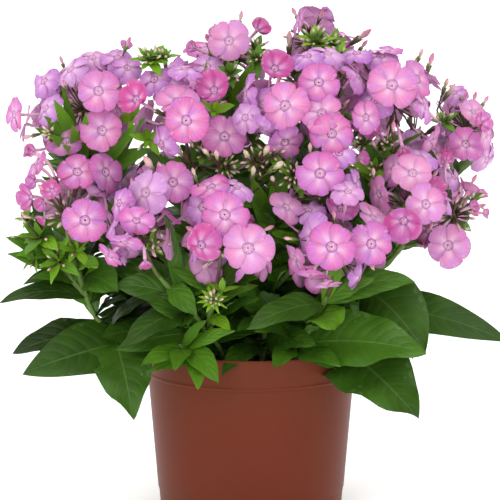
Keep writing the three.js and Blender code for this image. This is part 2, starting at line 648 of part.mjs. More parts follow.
function meets(a, b) {
  const [p, q] = [a.boundingBox(), b.boundingBox()];
  return [0, 1, 2].every((i) => p.min[i] <= q.max[i] && q.min[i] <= p.max[i]);
}

function keepRooted(piece, root) {
  const parts = piece.decompose();
  let best = null;
  let nearest = Infinity;
  for (const part of parts) {
    const { vertProperties } = part.getMesh();
    for (let i = 0; i < vertProperties.length; i += 3) {
      const distance = Math.hypot(vertProperties[i] - root.x, vertProperties[i + 1] - root.y,
        vertProperties[i + 2] - root.z);
      if (distance < nearest) {
        nearest = distance;
        best = part;
      }
    }
  }
  return best;
}

function trim(piece, rooms, root) {
  let left = piece;
  let touched = false;
  for (const room of rooms) {
    if (!meets(left, room)) continue;
    const cut = left.subtract(room);
    if (cut.volume() < left.volume() - 1e-6) {
      left = cut;
      touched = true;
    }
  }
  return touched ? keepRooted(left, root) : left;
}

function join(pieces) {
  const whole = wasm.Manifold.union(pieces);
  const parts = whole.decompose().sort((a, b) => b.volume() - a.volume());
  return parts[0];
}

// ---- Assembly ----

const part = new THREE.Group();
part.name = "phlox_in_pot";

function addMesh(name, body, colour, roughness) {
  const { vertProperties, triVerts, numProp } = body.getMesh();
  if (numProp !== 3) throw new Error("unexpected vertex layout");
  const geometry = new THREE.BufferGeometry();
  geometry.setAttribute("position", new THREE.BufferAttribute(Float32Array.from(vertProperties), 3));
  geometry.setIndex(new THREE.BufferAttribute(Uint32Array.from(triVerts), 1));
  geometry.computeVertexNormals();
  const material = new THREE.MeshStandardMaterial({ color: colour, roughness, metalness: 0 });
  const mesh = new THREE.Mesh(geometry, material);
  mesh.name = name;
  part.add(mesh);
}

function lathe(profile) {
  const geometry = new THREE.LatheGeometry(profile.map(([r, z]) => new THREE.Vector2(r, z)), POT.sides);
  geometry.rotateX(Math.PI / 2);
  return solidOf(geometry);
}

const bodyTop = POT.rim - POT.step;
const stepHeight = POT.height - POT.collar;
const bodyRadius = (z) => bodyTop - (stepHeight - z) * Math.tan(POT.taper);

function pot() {
  const { rim: lip, height, wall, floor, foot, inset } = POT;
  const inner = (z) => (z > stepHeight ? lip - wall - 0.5 : bodyRadius(z) - wall);
  const shell = lathe([
    [0, 0], [bodyRadius(0) - inset, 0], [bodyRadius(foot) - inset, foot], [bodyRadius(foot), foot + 0.8],
    [bodyRadius(stepHeight), stepHeight], [lip - 0.2, stepHeight], [lip, height - 2], [lip - 0.6, height],
    [inner(height), height], [inner(height), stepHeight + 1.5], [inner(stepHeight), stepHeight - 1],
    [inner(foot) - inset, foot], [inner(floor) - inset, floor], [0, floor],
  ]);
  const drains = Array.from({ length: POT.drains }, (_, i) => {
    const angle = (2 * Math.PI * (i + 0.5)) / POT.drains;
    const bore = new THREE.CylinderGeometry(POT.drainRadius, POT.drainRadius, 4 * floor, 8);
    bore.rotateX(Math.PI / 2);
    bore.translate(POT.drainRing * Math.cos(angle), POT.drainRing * Math.sin(angle), 0);
    return solidOf(bore);
  });
  return shell.subtract(wasm.Manifold.union(drains));
}

function soil(stemRooms) {
  const { wall, floor, foot, inset } = POT;
  const bed = lathe([
    [0, floor + GAP], [bodyRadius(floor) - wall - inset - 2 * GAP, floor + GAP],
    [bodyRadius(stepHeight - 2) - wall - inset - GAP, stepHeight - 2],
    [bodyRadius(stepHeight) - wall - GAP, SOIL_TOP - 2],
    [bodyRadius(stepHeight) - wall - 6, SOIL_TOP], [0, SOIL_TOP],
  ]);
  return bed.subtract(wasm.Manifold.union(stemRooms));
}

const knots = HEADS.map((head) => V(...head.knot));
const peduncles = HEADS.map(peduncle);
const slim = [STEM_RADIUS[1], STEM_RADIUS[1]];
const stemTube = (grow) => (curve, run) => tube(curve, run === 0 ? STEM_RADIUS : slim, grow, run === 0);
const stemTubes = CURVES.map((runs) => runs.map(stemTube(0)));
const stemRooms = CURVES.map((runs) => runs.map(stemTube(GAP + 0.1)));
const peduncleTubes = peduncles.map((curve) => tube(curve, slim));
const peduncleRooms = peduncles.map((curve) => tube(curve, slim, GAP + 0.1));
const coreSolids = HEADS.map(coreSolid);

addMesh("pot", pot(), 0x82412f, 0.45);
// Each stem stands straight in its plain hole in the soil.
const holes = STEMS.map(({ runs: [[[x, y, z], [u, v, w]]] }) => {
  const [bottom, top] = [V(x, y, z), V(u, v, w)];
  const along = top.clone().sub(bottom).normalize();
  const side = V(1, 0, 0).addScaledVector(along, -along.x).normalize();
  const ring = (centre) => polygon(centre, side, along.clone().cross(side), STEM_RADIUS[0] + 2 * GAP, 6);
  return loft([ring(bottom.addScaledVector(along, -2 * GAP)), ring(top.addScaledVector(along, 2))]);
});
addMesh("soil", soil(holes), 0x3a2a20, 0.95);

// Heads: earlier heads keep their florets whole, later ones give way.
const headRooms = [];
HEADS.forEach((head, index) => {
  const others = [
    ...stemRooms.flat(),
    ...peduncleRooms.filter((_, i) => i !== index),
    ...coreSolids.filter((_, i) => i !== index),
    ...headRooms.flat(),
  ];
  const knot = knots[index];
  const mine = florets.filter((floret) => floret.head === index);
  const myBuds = buds.filter((bud) => bud.head === index);
  const pieces = [
    peduncleTubes[index], coreSolids[index],
    ...mine.map((floret) => trim(floretSolid(floret, knot), others, knot)),
    ...myBuds.map((bud) => trim(budSolid(bud, knot), others, knot)),
  ];
  headRooms.push([
    ...mine.map((floret) => floretRoom(floret, knot)),
    ...myBuds.map((bud) => budSolid(bud, knot, GAP)),
  ]);
  addMesh(head.name, join(pieces), 0xd987c9, 0.6);
});

// Stems: their leaves give way to every head and to the leaves of earlier stems.
const potRoom = lathe([
  [0, -1], [POT.rim + GAP, -1], [POT.rim + GAP, POT.height + GAP], [0, POT.height + GAP],
]);
const leafRooms = [];
STEMS.forEach((stem, index) => {
  const others = [
    potRoom,
    ...stemRooms.filter((_, i) => i !== index).flat(),
    ...peduncleRooms, ...coreSolids, ...headRooms.flat(), ...leafRooms.flat(),
  ];
  const mine = leaves.filter((leaf) => leaf.stem === index);
  const pieces = [
    ...stemTubes[index],
    ...mine.map((leaf) => trim(leafSolid(leaf), others, leaf.base)),
  ];
  leafRooms.push(mine.map((leaf) => leafSolid(leaf, GAP + 0.1)));
  addMesh(stem.name, join(pieces), 0x3d6a2c, 0.55);
});

export default part;
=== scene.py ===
"""A compact garden phlox in bloom, in the moulded nursery pot it was grown in.

The layout is worked out in millimetres and the meshes are in metres: +Z up, the plant's front towards
-Y, and the origin on the ground under the middle of the pot.
"""

import json
import math

import bmesh
import bpy
import numpy as np
from mathutils import Matrix, Vector, noise

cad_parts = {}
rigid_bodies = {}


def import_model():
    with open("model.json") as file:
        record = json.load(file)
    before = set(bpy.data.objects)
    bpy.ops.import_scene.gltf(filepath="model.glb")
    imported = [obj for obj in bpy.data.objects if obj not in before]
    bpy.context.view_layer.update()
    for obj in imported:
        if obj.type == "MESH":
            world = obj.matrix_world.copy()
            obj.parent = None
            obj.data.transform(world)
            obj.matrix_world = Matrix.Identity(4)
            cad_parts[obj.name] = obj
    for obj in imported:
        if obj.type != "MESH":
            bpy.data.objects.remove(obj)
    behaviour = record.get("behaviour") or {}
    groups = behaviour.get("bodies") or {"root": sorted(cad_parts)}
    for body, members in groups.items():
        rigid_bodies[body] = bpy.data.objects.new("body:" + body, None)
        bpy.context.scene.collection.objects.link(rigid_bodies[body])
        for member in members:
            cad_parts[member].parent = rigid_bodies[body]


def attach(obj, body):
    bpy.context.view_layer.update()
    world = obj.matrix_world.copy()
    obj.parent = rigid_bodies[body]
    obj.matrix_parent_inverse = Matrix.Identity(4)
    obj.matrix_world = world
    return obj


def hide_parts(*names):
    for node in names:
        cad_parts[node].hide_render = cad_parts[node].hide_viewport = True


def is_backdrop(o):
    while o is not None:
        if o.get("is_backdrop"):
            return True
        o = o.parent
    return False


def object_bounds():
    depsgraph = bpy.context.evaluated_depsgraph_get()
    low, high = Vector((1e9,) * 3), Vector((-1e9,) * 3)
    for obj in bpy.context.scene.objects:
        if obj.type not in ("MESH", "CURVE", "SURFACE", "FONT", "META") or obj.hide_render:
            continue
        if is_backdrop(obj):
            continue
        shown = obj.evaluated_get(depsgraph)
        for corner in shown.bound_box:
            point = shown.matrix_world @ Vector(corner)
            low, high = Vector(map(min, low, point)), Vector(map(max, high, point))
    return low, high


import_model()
cad_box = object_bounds()
scene = bpy.context.scene

# ---- Studio ----
# A white paper ground under an even white surround, with a large soft light high on the left and a
# weaker one on the right. The eye is a little above the rim of the pot.

MM = 0.001
EYE_TILT = math.radians(9)
EYE_DISTANCE = 2000     # mm from the point it looks at
EYE_AIM = 174           # mm above the ground, on the pot's axis
VIEW_WIDTH = 340        # mm across the view at the pot's axis


def linear(colour):
    """An sRGB hex colour as linear red, green, blue and alpha."""
    channels = [int(colour[i : i + 2], 16) / 255 for i in (1, 3, 5)]
    return (*(c / 12.92 if c <= 0.04045 else ((c + 0.055) / 1.055) ** 2.4 for c in channels), 1.0)


def add(tree, kind, inputs=None, **settings):
    """Adds one node with its settings and inputs. A node given as an input stands for its first output."""
    node = tree.nodes.new(kind)
    for name, value in settings.items():
        if name == "stops":
            elements = node.color_ramp.elements
            while len(elements) < len(value):
                elements.new(1.0)
            for element, (place, colour) in zip(elements, value):
                element.position = place
                element.color = linear(colour) if isinstance(colour, str) else (colour,) * 3 + (1.0,)
        else:
            setattr(node, name, value)
    for socket, value in (inputs or {}).items():
        for source in value if isinstance(value, list) else [value]:    # a list is joined in its order
            if isinstance(source, bpy.types.Node):
                source = next(output for output in source.outputs if output.enabled)
            if isinstance(source, bpy.types.NodeSocket):
                tree.links.new(source, node.inputs[socket])
            else:
                is_colour = isinstance(source, str) and source.startswith("#")
                node.inputs[socket].default_value = linear(source) if is_colour else source
    return node


def blank_material(name):
    """A new material and its empty node tree."""
    material = bpy.data.materials.new(name)
    material.use_nodes = True
    material.node_tree.nodes.clear()
    return material, material.node_tree


scene.view_settings.view_transform = "Standard"
viewer = bpy.data.cameras.new("camera")
camera = bpy.data.objects.new("camera", viewer)
scene.collection.objects.link(camera)
scene.camera = camera
camera.location = (
    0.0,
    -EYE_DISTANCE * math.cos(EYE_TILT) * MM,
    (EYE_AIM + EYE_DISTANCE * math.sin(EYE_TILT)) * MM,
)
camera.rotation_euler = (math.pi / 2 - EYE_TILT, 0.0, 0.0)
viewer.sensor_width = 36
viewer.lens = viewer.sensor_width * EYE_DISTANCE / VIEW_WIDTH
viewer.shift_x = -0.002
viewer.clip_end = 20

surround = bpy.data.worlds.new("white_surround")
surround.use_nodes = True
scene.world = surround
for node in surround.node_tree.nodes:
    if node.type == "BACKGROUND":
        node.inputs["Color"].default_value = (1.0, 1.0, 1.0, 1.0)
        node.inputs["Strength"].default_value = 1.2

for name, place, size, power in (
    ("key_softbox", (-0.8, -1.6, 1.2), 0.9, 6.5),
    ("fill_softbox", (1.1, -1.5, 0.8), 0.9, 0.8),
):
    lamp = bpy.data.lights.new(name, "AREA")
    lamp.size = size
    lamp.energy = power
    softbox = bpy.data.objects.new(name, lamp)
    softbox.location = place
    softbox.rotation_euler = (Vector((0, 0, 0.2)) - Vector(place)).to_track_quat("-Z", "Y").to_euler()
    scene.collection.objects.link(softbox)

paper, tree = blank_material("white_ground_paper")
surface = add(
    tree, "ShaderNodeBsdfPrincipled",
    {"Base Color": "#FFFFFF", "Roughness": 0.9, "Emission Color": "#FFFFFF", "Emission Strength": 0.25},
)
add(tree, "ShaderNodeOutputMaterial", {"Surface": surface})
ground_mesh = bpy.data.meshes.new("ground")
ground_mesh.from_pydata([(-6, -6, 0), (6, -6, 0), (6, 6, 0), (-6, 6, 0)], [], [(0, 1, 2, 3)])
ground_mesh.materials.append(paper)
ground = bpy.data.objects.new("ground", ground_mesh)
scene.collection.objects.link(ground)
ground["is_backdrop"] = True

# ---- Pot ----
# A round nursery pot, injection moulded in one piece from terracotta-coloured polypropylene: a wide
# band under a rounded lip, a tapered wall, a stepped-in stacking foot and six drain holes.

RIM_RADIUS = 71.5
POT_HEIGHT = 111
BAND_FOOT = 90                  # height of the band's lower edge
BAND_STEP = 1.0
POT_TAPER = math.tan(math.radians(4.78))
FOOT_HEIGHT, FOOT_INSET = 10, 0.6
POT_WALL, POT_FLOOR = 1.6, 2.4
DRAINS, DRAIN_RADIUS, DRAIN_RING = 6, 4.5, 44
POT_SIDES = 128


def wall_radius(height):
    """The tapered wall's outer radius at this height."""
    return RIM_RADIUS - BAND_STEP - (BAND_FOOT - height) * POT_TAPER


def spun(name, profile, sides):
    """A closed mesh turned about the pot's axis from radii and heights in mm."""
    bm = bmesh.new()
    rings = []
    for radius, height in profile:
        if radius == 0:
            rings.append([bm.verts.new((0, 0, height * MM))])
            continue
        rings.append([
            bm.verts.new((
                radius * math.cos(2 * math.pi * i / sides) * MM,
                radius * math.sin(2 * math.pi * i / sides) * MM,
                height * MM,
            ))
            for i in range(sides)
        ])
    for low, high in zip(rings, rings[1:]):
        for i in range(sides):
            j = (i + 1) % sides
            corners = [low[i % len(low)], low[j % len(low)], high[j % len(high)], high[i % len(high)]]
            bm.faces.new(list(dict.fromkeys(corners)))
    bmesh.ops.recalc_face_normals(bm, faces=bm.faces)
    mesh = bpy.data.meshes.new(name)
    bm.to_mesh(mesh)
    bm.free()
    return mesh


def piece_from(name, mesh, *materials):
    """A piece at the origin with these materials in its slots."""
    for material in materials:
        mesh.materials.append(material)
    piece = bpy.data.objects.new(name, mesh)
    scene.collection.objects.link(piece)
    return piece


def finished(piece):
    """The piece's evaluated mesh in its place, with nothing live left on it."""
    graph = bpy.context.evaluated_depsgraph_get()
    mesh = bpy.data.meshes.new_from_object(piece.evaluated_get(graph))
    mesh.name = piece.name
    piece.modifiers.clear()
    piece.data = mesh
    return piece


# Moulded polypropylene: a soft satin skin over a faint eggshell texture, with painted light that makes it a
# little lighter and redder towards the top.
# Noise scales, here and below, are grains a metre.
pot_plastic, tree = blank_material("moulded_polypropylene")
where = add(tree, "ShaderNodeTexCoord").outputs["Object"]
height = add(tree, "ShaderNodeSeparateXYZ", {0: where}).outputs
# Painted light: the colour turns a little lighter and redder up the pot, from 50 mm to just under the rim.
painted_top_light = add(
    tree, "ShaderNodeMapRange", {"Value": height["Z"], "From Min": 0.05, "From Max": 0.108},
    interpolation_type="SMOOTHSTEP",
)
EGGSHELL_MM = 0.9               # coarser than the real 0.3 mm, so that it shows
eggshell = add(
    tree, "ShaderNodeTexNoise", {"Vector": where, "Scale": 1 / (EGGSHELL_MM * MM), "Detail": 2.0},
)
cloud = add(tree, "ShaderNodeTexNoise", {"Vector": where, "Scale": 25.0, "Detail": 3.0})
body_colour = add(tree, "ShaderNodeMix", {0: painted_top_light, 6: "#6B301E", 7: "#6E3420"}, data_type="RGBA")
clouded = add(
    tree, "ShaderNodeMix", {0: 0.22, 6: body_colour, 7: cloud.outputs["Color"]}, data_type="RGBA",
    blend_type="MULTIPLY",
)
texture = add(tree, "ShaderNodeBump", {"Strength": 0.12, "Distance": 0.0003, "Height": eggshell})
surface = add(
    tree, "ShaderNodeBsdfPrincipled",
    {"Base Color": clouded, "Roughness": 0.42, "IOR": 1.49, "Specular IOR Level": 0.1, "Normal": texture},
)
add(tree, "ShaderNodeOutputMaterial", {"Surface": surface})

foot_inner = wall_radius(FOOT_HEIGHT) - POT_WALL - FOOT_INSET
pot_profile = [
    (0, 0), (wall_radius(0) - FOOT_INSET - 0.8, 0), (wall_radius(0) - FOOT_INSET - 0.2, 0.25),
    (wall_radius(0) - FOOT_INSET, 0.8), (wall_radius(FOOT_HEIGHT) - FOOT_INSET, FOOT_HEIGHT - 0.2),
    (wall_radius(FOOT_HEIGHT) - 0.5, FOOT_HEIGHT + 0.2),
    (wall_radius(FOOT_HEIGHT) - 0.05, FOOT_HEIGHT + 0.8),
    (wall_radius(BAND_FOOT - 1.6), BAND_FOOT - 1.6), (wall_radius(BAND_FOOT) - 0.35, BAND_FOOT - 0.5),
    (wall_radius(BAND_FOOT) - 0.3, BAND_FOOT), (RIM_RADIUS - 0.6, BAND_FOOT + 0.15),
    (RIM_RADIUS - 0.15, BAND_FOOT + 0.6), (RIM_RADIUS, BAND_FOOT + 1.3), (RIM_RADIUS - 0.15, BAND_FOOT + 2),
    (RIM_RADIUS - 0.55, BAND_FOOT + 2.6), (RIM_RADIUS - 0.6, BAND_FOOT + 3.4),
    (RIM_RADIUS - 0.25, POT_HEIGHT - 4), (RIM_RADIUS, POT_HEIGHT - 2),
    (RIM_RADIUS - 0.05, POT_HEIGHT - 0.9),
    (RIM_RADIUS - 0.4, POT_HEIGHT - 0.2), (RIM_RADIUS - 0.9, POT_HEIGHT),
    (RIM_RADIUS - POT_WALL, POT_HEIGHT - 0.1), (RIM_RADIUS - POT_WALL - 0.5, POT_HEIGHT - 0.6),
    (RIM_RADIUS - POT_WALL - 0.5, BAND_FOOT + 1.5), (wall_radius(BAND_FOOT) - POT_WALL, BAND_FOOT - 1),
    (foot_inner, FOOT_HEIGHT), (foot_inner - 0.8, POT_FLOOR + 0.6), (foot_inner - 1.6, POT_FLOOR),
    (0, POT_FLOOR),
]
pot_mesh = spun("moulded_pot", pot_profile, POT_SIDES)
pot = piece_from("moulded_pot", pot_mesh, pot_plastic)
for i in range(DRAINS):
    angle = 2 * math.pi * (i + 0.5) / DRAINS
    cutter_mesh = spun("drain_cutter", [(0, -4), (DRAIN_RADIUS, -4), (DRAIN_RADIUS, 6), (0, 6)], 24)
    across, along = DRAIN_RING * math.cos(angle) * MM, DRAIN_RING * math.sin(angle) * MM
    cutter_mesh.transform(Matrix.Translation((across, along, 0)))
    cutter = bpy.data.objects.new("drain_cutter", cutter_mesh)
    scene.collection.objects.link(cutter)
    cut = pot.modifiers.new("drain", "BOOLEAN")
    cut.operation, cut.solver, cut.object = "DIFFERENCE", "EXACT", cutter
finished(pot)
for cutter in [o for o in scene.objects if o.name.startswith("drain_cutter")]:
    bpy.data.objects.remove(cutter)
pot.data.shade_smooth()
pot.data.set_sharp_from_angle(angle=math.radians(40))
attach(pot, "root")
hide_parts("pot")

# ---- Soil ----
# Damp peat compost that fills the pot to just under its lip: a firm bed with an uneven top, strewn
# with crumbs that are a little lighter where they have dried.

SOIL_TOP = 98
BED_SIDES, BED_RINGS = 64, 14
CRUMBS = 1500

peat, tree = blank_material("damp_peat")
where = add(tree, "ShaderNodeTexCoord").outputs["Object"]
PEAT_GRAIN_MM = 2.5
grain = add(tree, "ShaderNodeTexNoise", {"Vector": where, "Scale": 1 / (PEAT_GRAIN_MM * MM), "Detail": 6.0})
dry = add(
    tree, "ShaderNodeValToRGB", {0: grain}, stops=[(0.3, "#17100B"), (0.55, "#2C2018"), (0.8, "#4A3829")],
)
rough = add(tree, "ShaderNodeBump", {"Strength": 0.8, "Distance": 0.001, "Height": grain})
surface = add(tree, "ShaderNodeBsdfPrincipled", {"Base Color": dry, "Roughness": 0.92, "Normal": rough})
add(tree, "ShaderNodeOutputMaterial", {"Surface": surface})

bed_edge = wall_radius(BAND_FOOT) - POT_WALL - 0.3
bed_profile = [
    (0, POT_FLOOR + 0.3), (wall_radius(POT_FLOOR) - POT_WALL - FOOT_INSET - 0.6, POT_FLOOR + 0.3),
    (wall_radius(BAND_FOOT - 2) - POT_WALL - FOOT_INSET - 0.3, BAND_FOOT - 2), (bed_edge, SOIL_TOP - 2),
]
bed_profile += [
    ((bed_edge - 4) * (1 - i / BED_RINGS), SOIL_TOP - 0.5) for i in range(BED_RINGS + 1)
]
bed_mesh = spun("peat_bed", bed_profile, BED_SIDES)
for vertex in bed_mesh.vertices:
    if vertex.co.z > (SOIL_TOP - 1) * MM:
        vertex.co.z += noise.noise(vertex.co * 90) * 1.6 * MM + noise.noise(vertex.co * 300) * 0.7 * MM
soil = piece_from("peat_bed", bed_mesh, peat)


def geometry_tree(name, inputs):
    """A tree that gives out one geometry. Its inputs by name are each a kind, or a kind and a default."""
    tree = bpy.data.node_groups.new(name, "GeometryNodeTree")
    for title, (kind, *default) in inputs.items():
        socket = tree.interface.new_socket(title, in_out="INPUT", socket_type="NodeSocket" + kind)
        if default:
            socket.default_value = default[0]
    tree.interface.new_socket("Geometry", in_out="OUTPUT", socket_type="NodeSocketGeometry")
    return tree, add(tree, "NodeGroupInput").outputs


crumb_tree, given = geometry_tree("crumbs_on_the_bed", {
    "Bed": ["Geometry"], "Crumbs a square metre": ["Float", 100000.0], "Crumb size": ["Float", 0.001],
    "Seed": ["Int", 5], "Peat": ["Material"],
})
place = add(crumb_tree, "GeometryNodeInputPosition")
level = add(crumb_tree, "ShaderNodeSeparateXYZ", {0: place}).outputs
on_top = add(
    crumb_tree, "FunctionNodeCompare", {0: level["Z"], 1: (SOIL_TOP - 1.8) * MM}, data_type="FLOAT",
    operation="GREATER_THAN",
)
spots = add(
    crumb_tree, "GeometryNodeDistributePointsOnFaces",
    {"Mesh": given["Bed"], "Selection": on_top, "Density": given["Crumbs a square metre"],
     "Seed": given["Seed"]},
)
lump = add(crumb_tree, "GeometryNodeMeshIcoSphere", {"Radius": given["Crumb size"], "Subdivisions": 1})
turn = add(
    crumb_tree, "FunctionNodeRandomValue", {"Max": (6.28, 6.28, 6.28), "Seed": 7}, data_type="FLOAT_VECTOR",
)
squash = add(
    crumb_tree, "FunctionNodeRandomValue", {"Min": (0.4, 0.4, 0.3), "Max": (1.7, 1.3, 1.0), "Seed": 9},
    data_type="FLOAT_VECTOR",
)
strewn = add(
    crumb_tree, "GeometryNodeInstanceOnPoints",
    {"Points": spots.outputs["Points"], "Instance": lump.outputs["Mesh"], "Rotation": turn,
     "Scale": squash},
)
solid = add(crumb_tree, "GeometryNodeRealizeInstances", {0: strewn})
together = add(crumb_tree, "GeometryNodeJoinGeometry", {0: [solid, given["Bed"]]})
dressed = add(crumb_tree, "GeometryNodeSetMaterial", {0: together, "Material": given["Peat"]})
add(crumb_tree, "NodeGroupOutput", {0: dressed})


def grown(piece, tree, **inputs):
    """Runs a node tree on the piece with its named inputs set, and keeps the plain mesh it makes."""
    modifier = piece.modifiers.new(tree.name, "NODES")
    modifier.node_group = tree
    identifiers = {
        item.name: item.identifier for item in tree.interface.items_tree if item.in_out == "INPUT"
    }
    for name, value in inputs.items():
        modifier[identifiers[name.replace("_", " ")]] = value
    return finished(piece)


soil_area = math.pi * (bed_edge * MM) ** 2
grown(soil, crumb_tree, Crumbs_a_square_metre=CRUMBS / soil_area, Peat=peat)
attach(soil, "root")
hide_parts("soil")

# ---- How the plant grows: stems ----
# Upright green stems, each rooted in the peat and most forking once or twice on the way up. A run is
# one length of stem, from the root or from a fork to the flower head or shoot tip at its end.

STEMS = {
    "stem_left": [
        [(-30, -12, 50), (-36, -15, 100), (-60, -27, 119), (-90, -38, 120), (-110, -43, 150),
         (-115, -26, 195), (-114, -24, 242)],
        [(-110, -43, 150), (-117, -56, 177)],
        [(-110, -43, 150), (-124, -46, 168), (-136, -44, 186)],
    ],
    "stem_front_left": [
        [(-12, -26, 50), (-16, -34, 100), (-34, -56, 135), (-60, -74, 168)],
        [(-26, -46, 122), (-27, -68, 140), (-23, -84, 160)],
    ],
    "stem_mid_left": [
        [(-10, -3, 50), (-13, -4, 100), (-24, -18, 160), (-34, -36, 205), (-40, -48, 238)],
        [(-24, -18, 160), (-18, -6, 220), (-13, 2, 280)],
    ],
    "stem_mid": [
        [(5, -19, 50), (7, -24, 100), (12, -38, 150), (13, -44, 205), (14, -46, 242)],
        [(12, -38, 150), (30, -56, 174), (42, -63, 193)],
    ],
    "stem_mid_right": [
        [(12, 2, 50), (15, 2, 100), (30, -8, 170), (42, -28, 215), (48, -42, 246)],
        [(30, -8, 170), (36, 12, 235), (40, 26, 290)],
    ],
    "stem_front_right": [
        [(17, -30, 50), (22, -38, 100), (40, -62, 132), (50, -78, 156)],
    ],
    "stem_right": [
        [(30, -12, 50), (36, -15, 100), (62, -26, 124), (78, -34, 160), (87, -32, 215), (92, -28, 248)],
        [(78, -34, 160), (92, -46, 174), (101, -54, 187)],
    ],
    "stem_far_right": [
        [(34, 4, 50), (40, 4, 98), (62, 4, 126), (84, 3, 156), (106, 2, 188), (128, 6, 212), (143, 8, 232)],
        [(84, 3, 156), (99, -4, 176), (116, -10, 180), (131, -16, 184)],
    ],
    "stem_back_left": [
        [(-30, 13, 50), (-36, 15, 100), (-60, 34, 130), (-88, 44, 165), (-108, 44, 205), (-118, 44, 226)],
        [(-60, 34, 130), (-74, 60, 160), (-82, 76, 185)],
    ],
    "stem_back_mid_left": [
        [(-8, 20, 50), (-11, 26, 100), (-20, 46, 150), (-26, 58, 205), (-29, 66, 250)],
        [(-20, 46, 150), (-20, 76, 172), (-19, 94, 190)],
    ],
    "stem_back_mid_right": [
        [(11, 22, 50), (15, 28, 100), (28, 50, 150), (44, 58, 205), (56, 62, 258)],
        [(28, 50, 150), (38, 76, 178), (43, 90, 200)],
    ],
    "stem_back_right": [
        [(32, 19, 50), (38, 24, 100), (66, 42, 130), (90, 54, 170), (108, 58, 215)],
        [(66, 42, 130), (80, 68, 150), (89, 82, 168)],
    ],
    "shoot_front_left": [
        [(-20, -36, 60), (-26, -44, 100), (-40, -58, 115), (-47, -66, 120)],
    ],
}
GOLDEN = math.radians(137.508)
STEM_AT_ROOT, STEM_AT_HEAD = 2.1, 1.5      # radii in mm
UP = np.array((0.0, 0.0, 1.0))


def unit(vector):
    return vector / np.linalg.norm(vector)


def seen(across, up, depth):
    """The place that the eye sees at this distance across and up, at this depth behind the axis."""
    sine, cosine = math.sin(EYE_TILT), math.cos(EYE_TILT)
    rise = up - EYE_AIM * cosine
    lift = (rise + rise * depth * cosine / EYE_DISTANCE - depth * sine) / (
        cosine + rise * sine / EYE_DISTANCE
    )
    distance = EYE_DISTANCE + depth * cosine - lift * sine
    return np.array((across * distance / EYE_DISTANCE, depth, EYE_AIM + lift))


def in_view(place):
    """Where the eye sees a place: across and up in the front view."""
    sine, cosine = math.sin(EYE_TILT), math.cos(EYE_TILT)
    lift = place[2] - EYE_AIM
    scale = EYE_DISTANCE / (EYE_DISTANCE + place[1] * cosine - lift * sine)
    return place[0] * scale, EYE_AIM * cosine + (lift * cosine + place[1] * sine) * scale


def within(windows, place):
    across, up = in_view(place)
    return any(left < across < right and low < up < high for left, right, low, high in windows)


def facing(turn, tilt):
    """The way a thing faces that is turned from the front to the right and tilted to the sky."""
    turn, tilt = math.radians(turn), math.radians(tilt)
    return np.array((math.sin(turn) * math.cos(tilt), -math.cos(turn) * math.cos(tilt), math.sin(tilt)))


def random_source(seed):
    """Numbers from 0 to 1 in an order that the seed fixes."""
    state = seed
    while True:
        state = (state * 1664525 + 1013904223) % 4294967296
        yield state / 4294967296


def on_line(points, share):
    """A place on the smooth line through these points, from 0 to 1 along them."""
    spot = (len(points) - 1) * share
    first = min(int(spot), len(points) - 2)
    part = spot - first
    start, end = points[first], points[first + 1]
    before = points[first - 1] if first else 2 * start - end
    after = points[first + 2] if first + 2 < len(points) else 2 * end - start
    leave, arrive = 0.5 * (end - before), 0.5 * (after - start)
    square = 3 * (end - start) - 2 * leave - arrive
    cube = 2 * (start - end) + leave + arrive
    return start + leave * part + square * part**2 + cube * part**3


def heading(points, share):
    low, high = max(0.0, share - 0.0001), min(1.0, share + 0.0001)
    return unit(on_line(points, high) - on_line(points, low))


STEM_NAMES = list(STEMS)
RUNS = [[np.array(run, dtype=float) for run in runs] for runs in STEMS.values()]


def at_height(points, height):
    """The first place on the line that is this high."""
    for i in range(200):
        place = on_line(points, i / 200)
        if place[2] >= height:
            return place
    return on_line(points, 1.0)


def bezier(controls, share):
    """A place on the curve that these control points bend."""
    while len(controls) > 1:
        controls = [a + (b - a) * share for a, b in zip(controls, controls[1:])]
    return controls[0]


def line_object(name, lines):
    """A curve object of lines, each a list of (place, radius) in mm."""
    curve = bpy.data.curves.new(name, "CURVE")
    curve.dimensions = "3D"
    for line in lines:
        spline = curve.splines.new("POLY")
        spline.points.add(len(line) - 1)
        for point, (place, radius) in zip(spline.points, line):
            point.co = (*(place * MM), 1.0)
            point.radius = radius * MM
    return bpy.data.objects.new(name, curve)
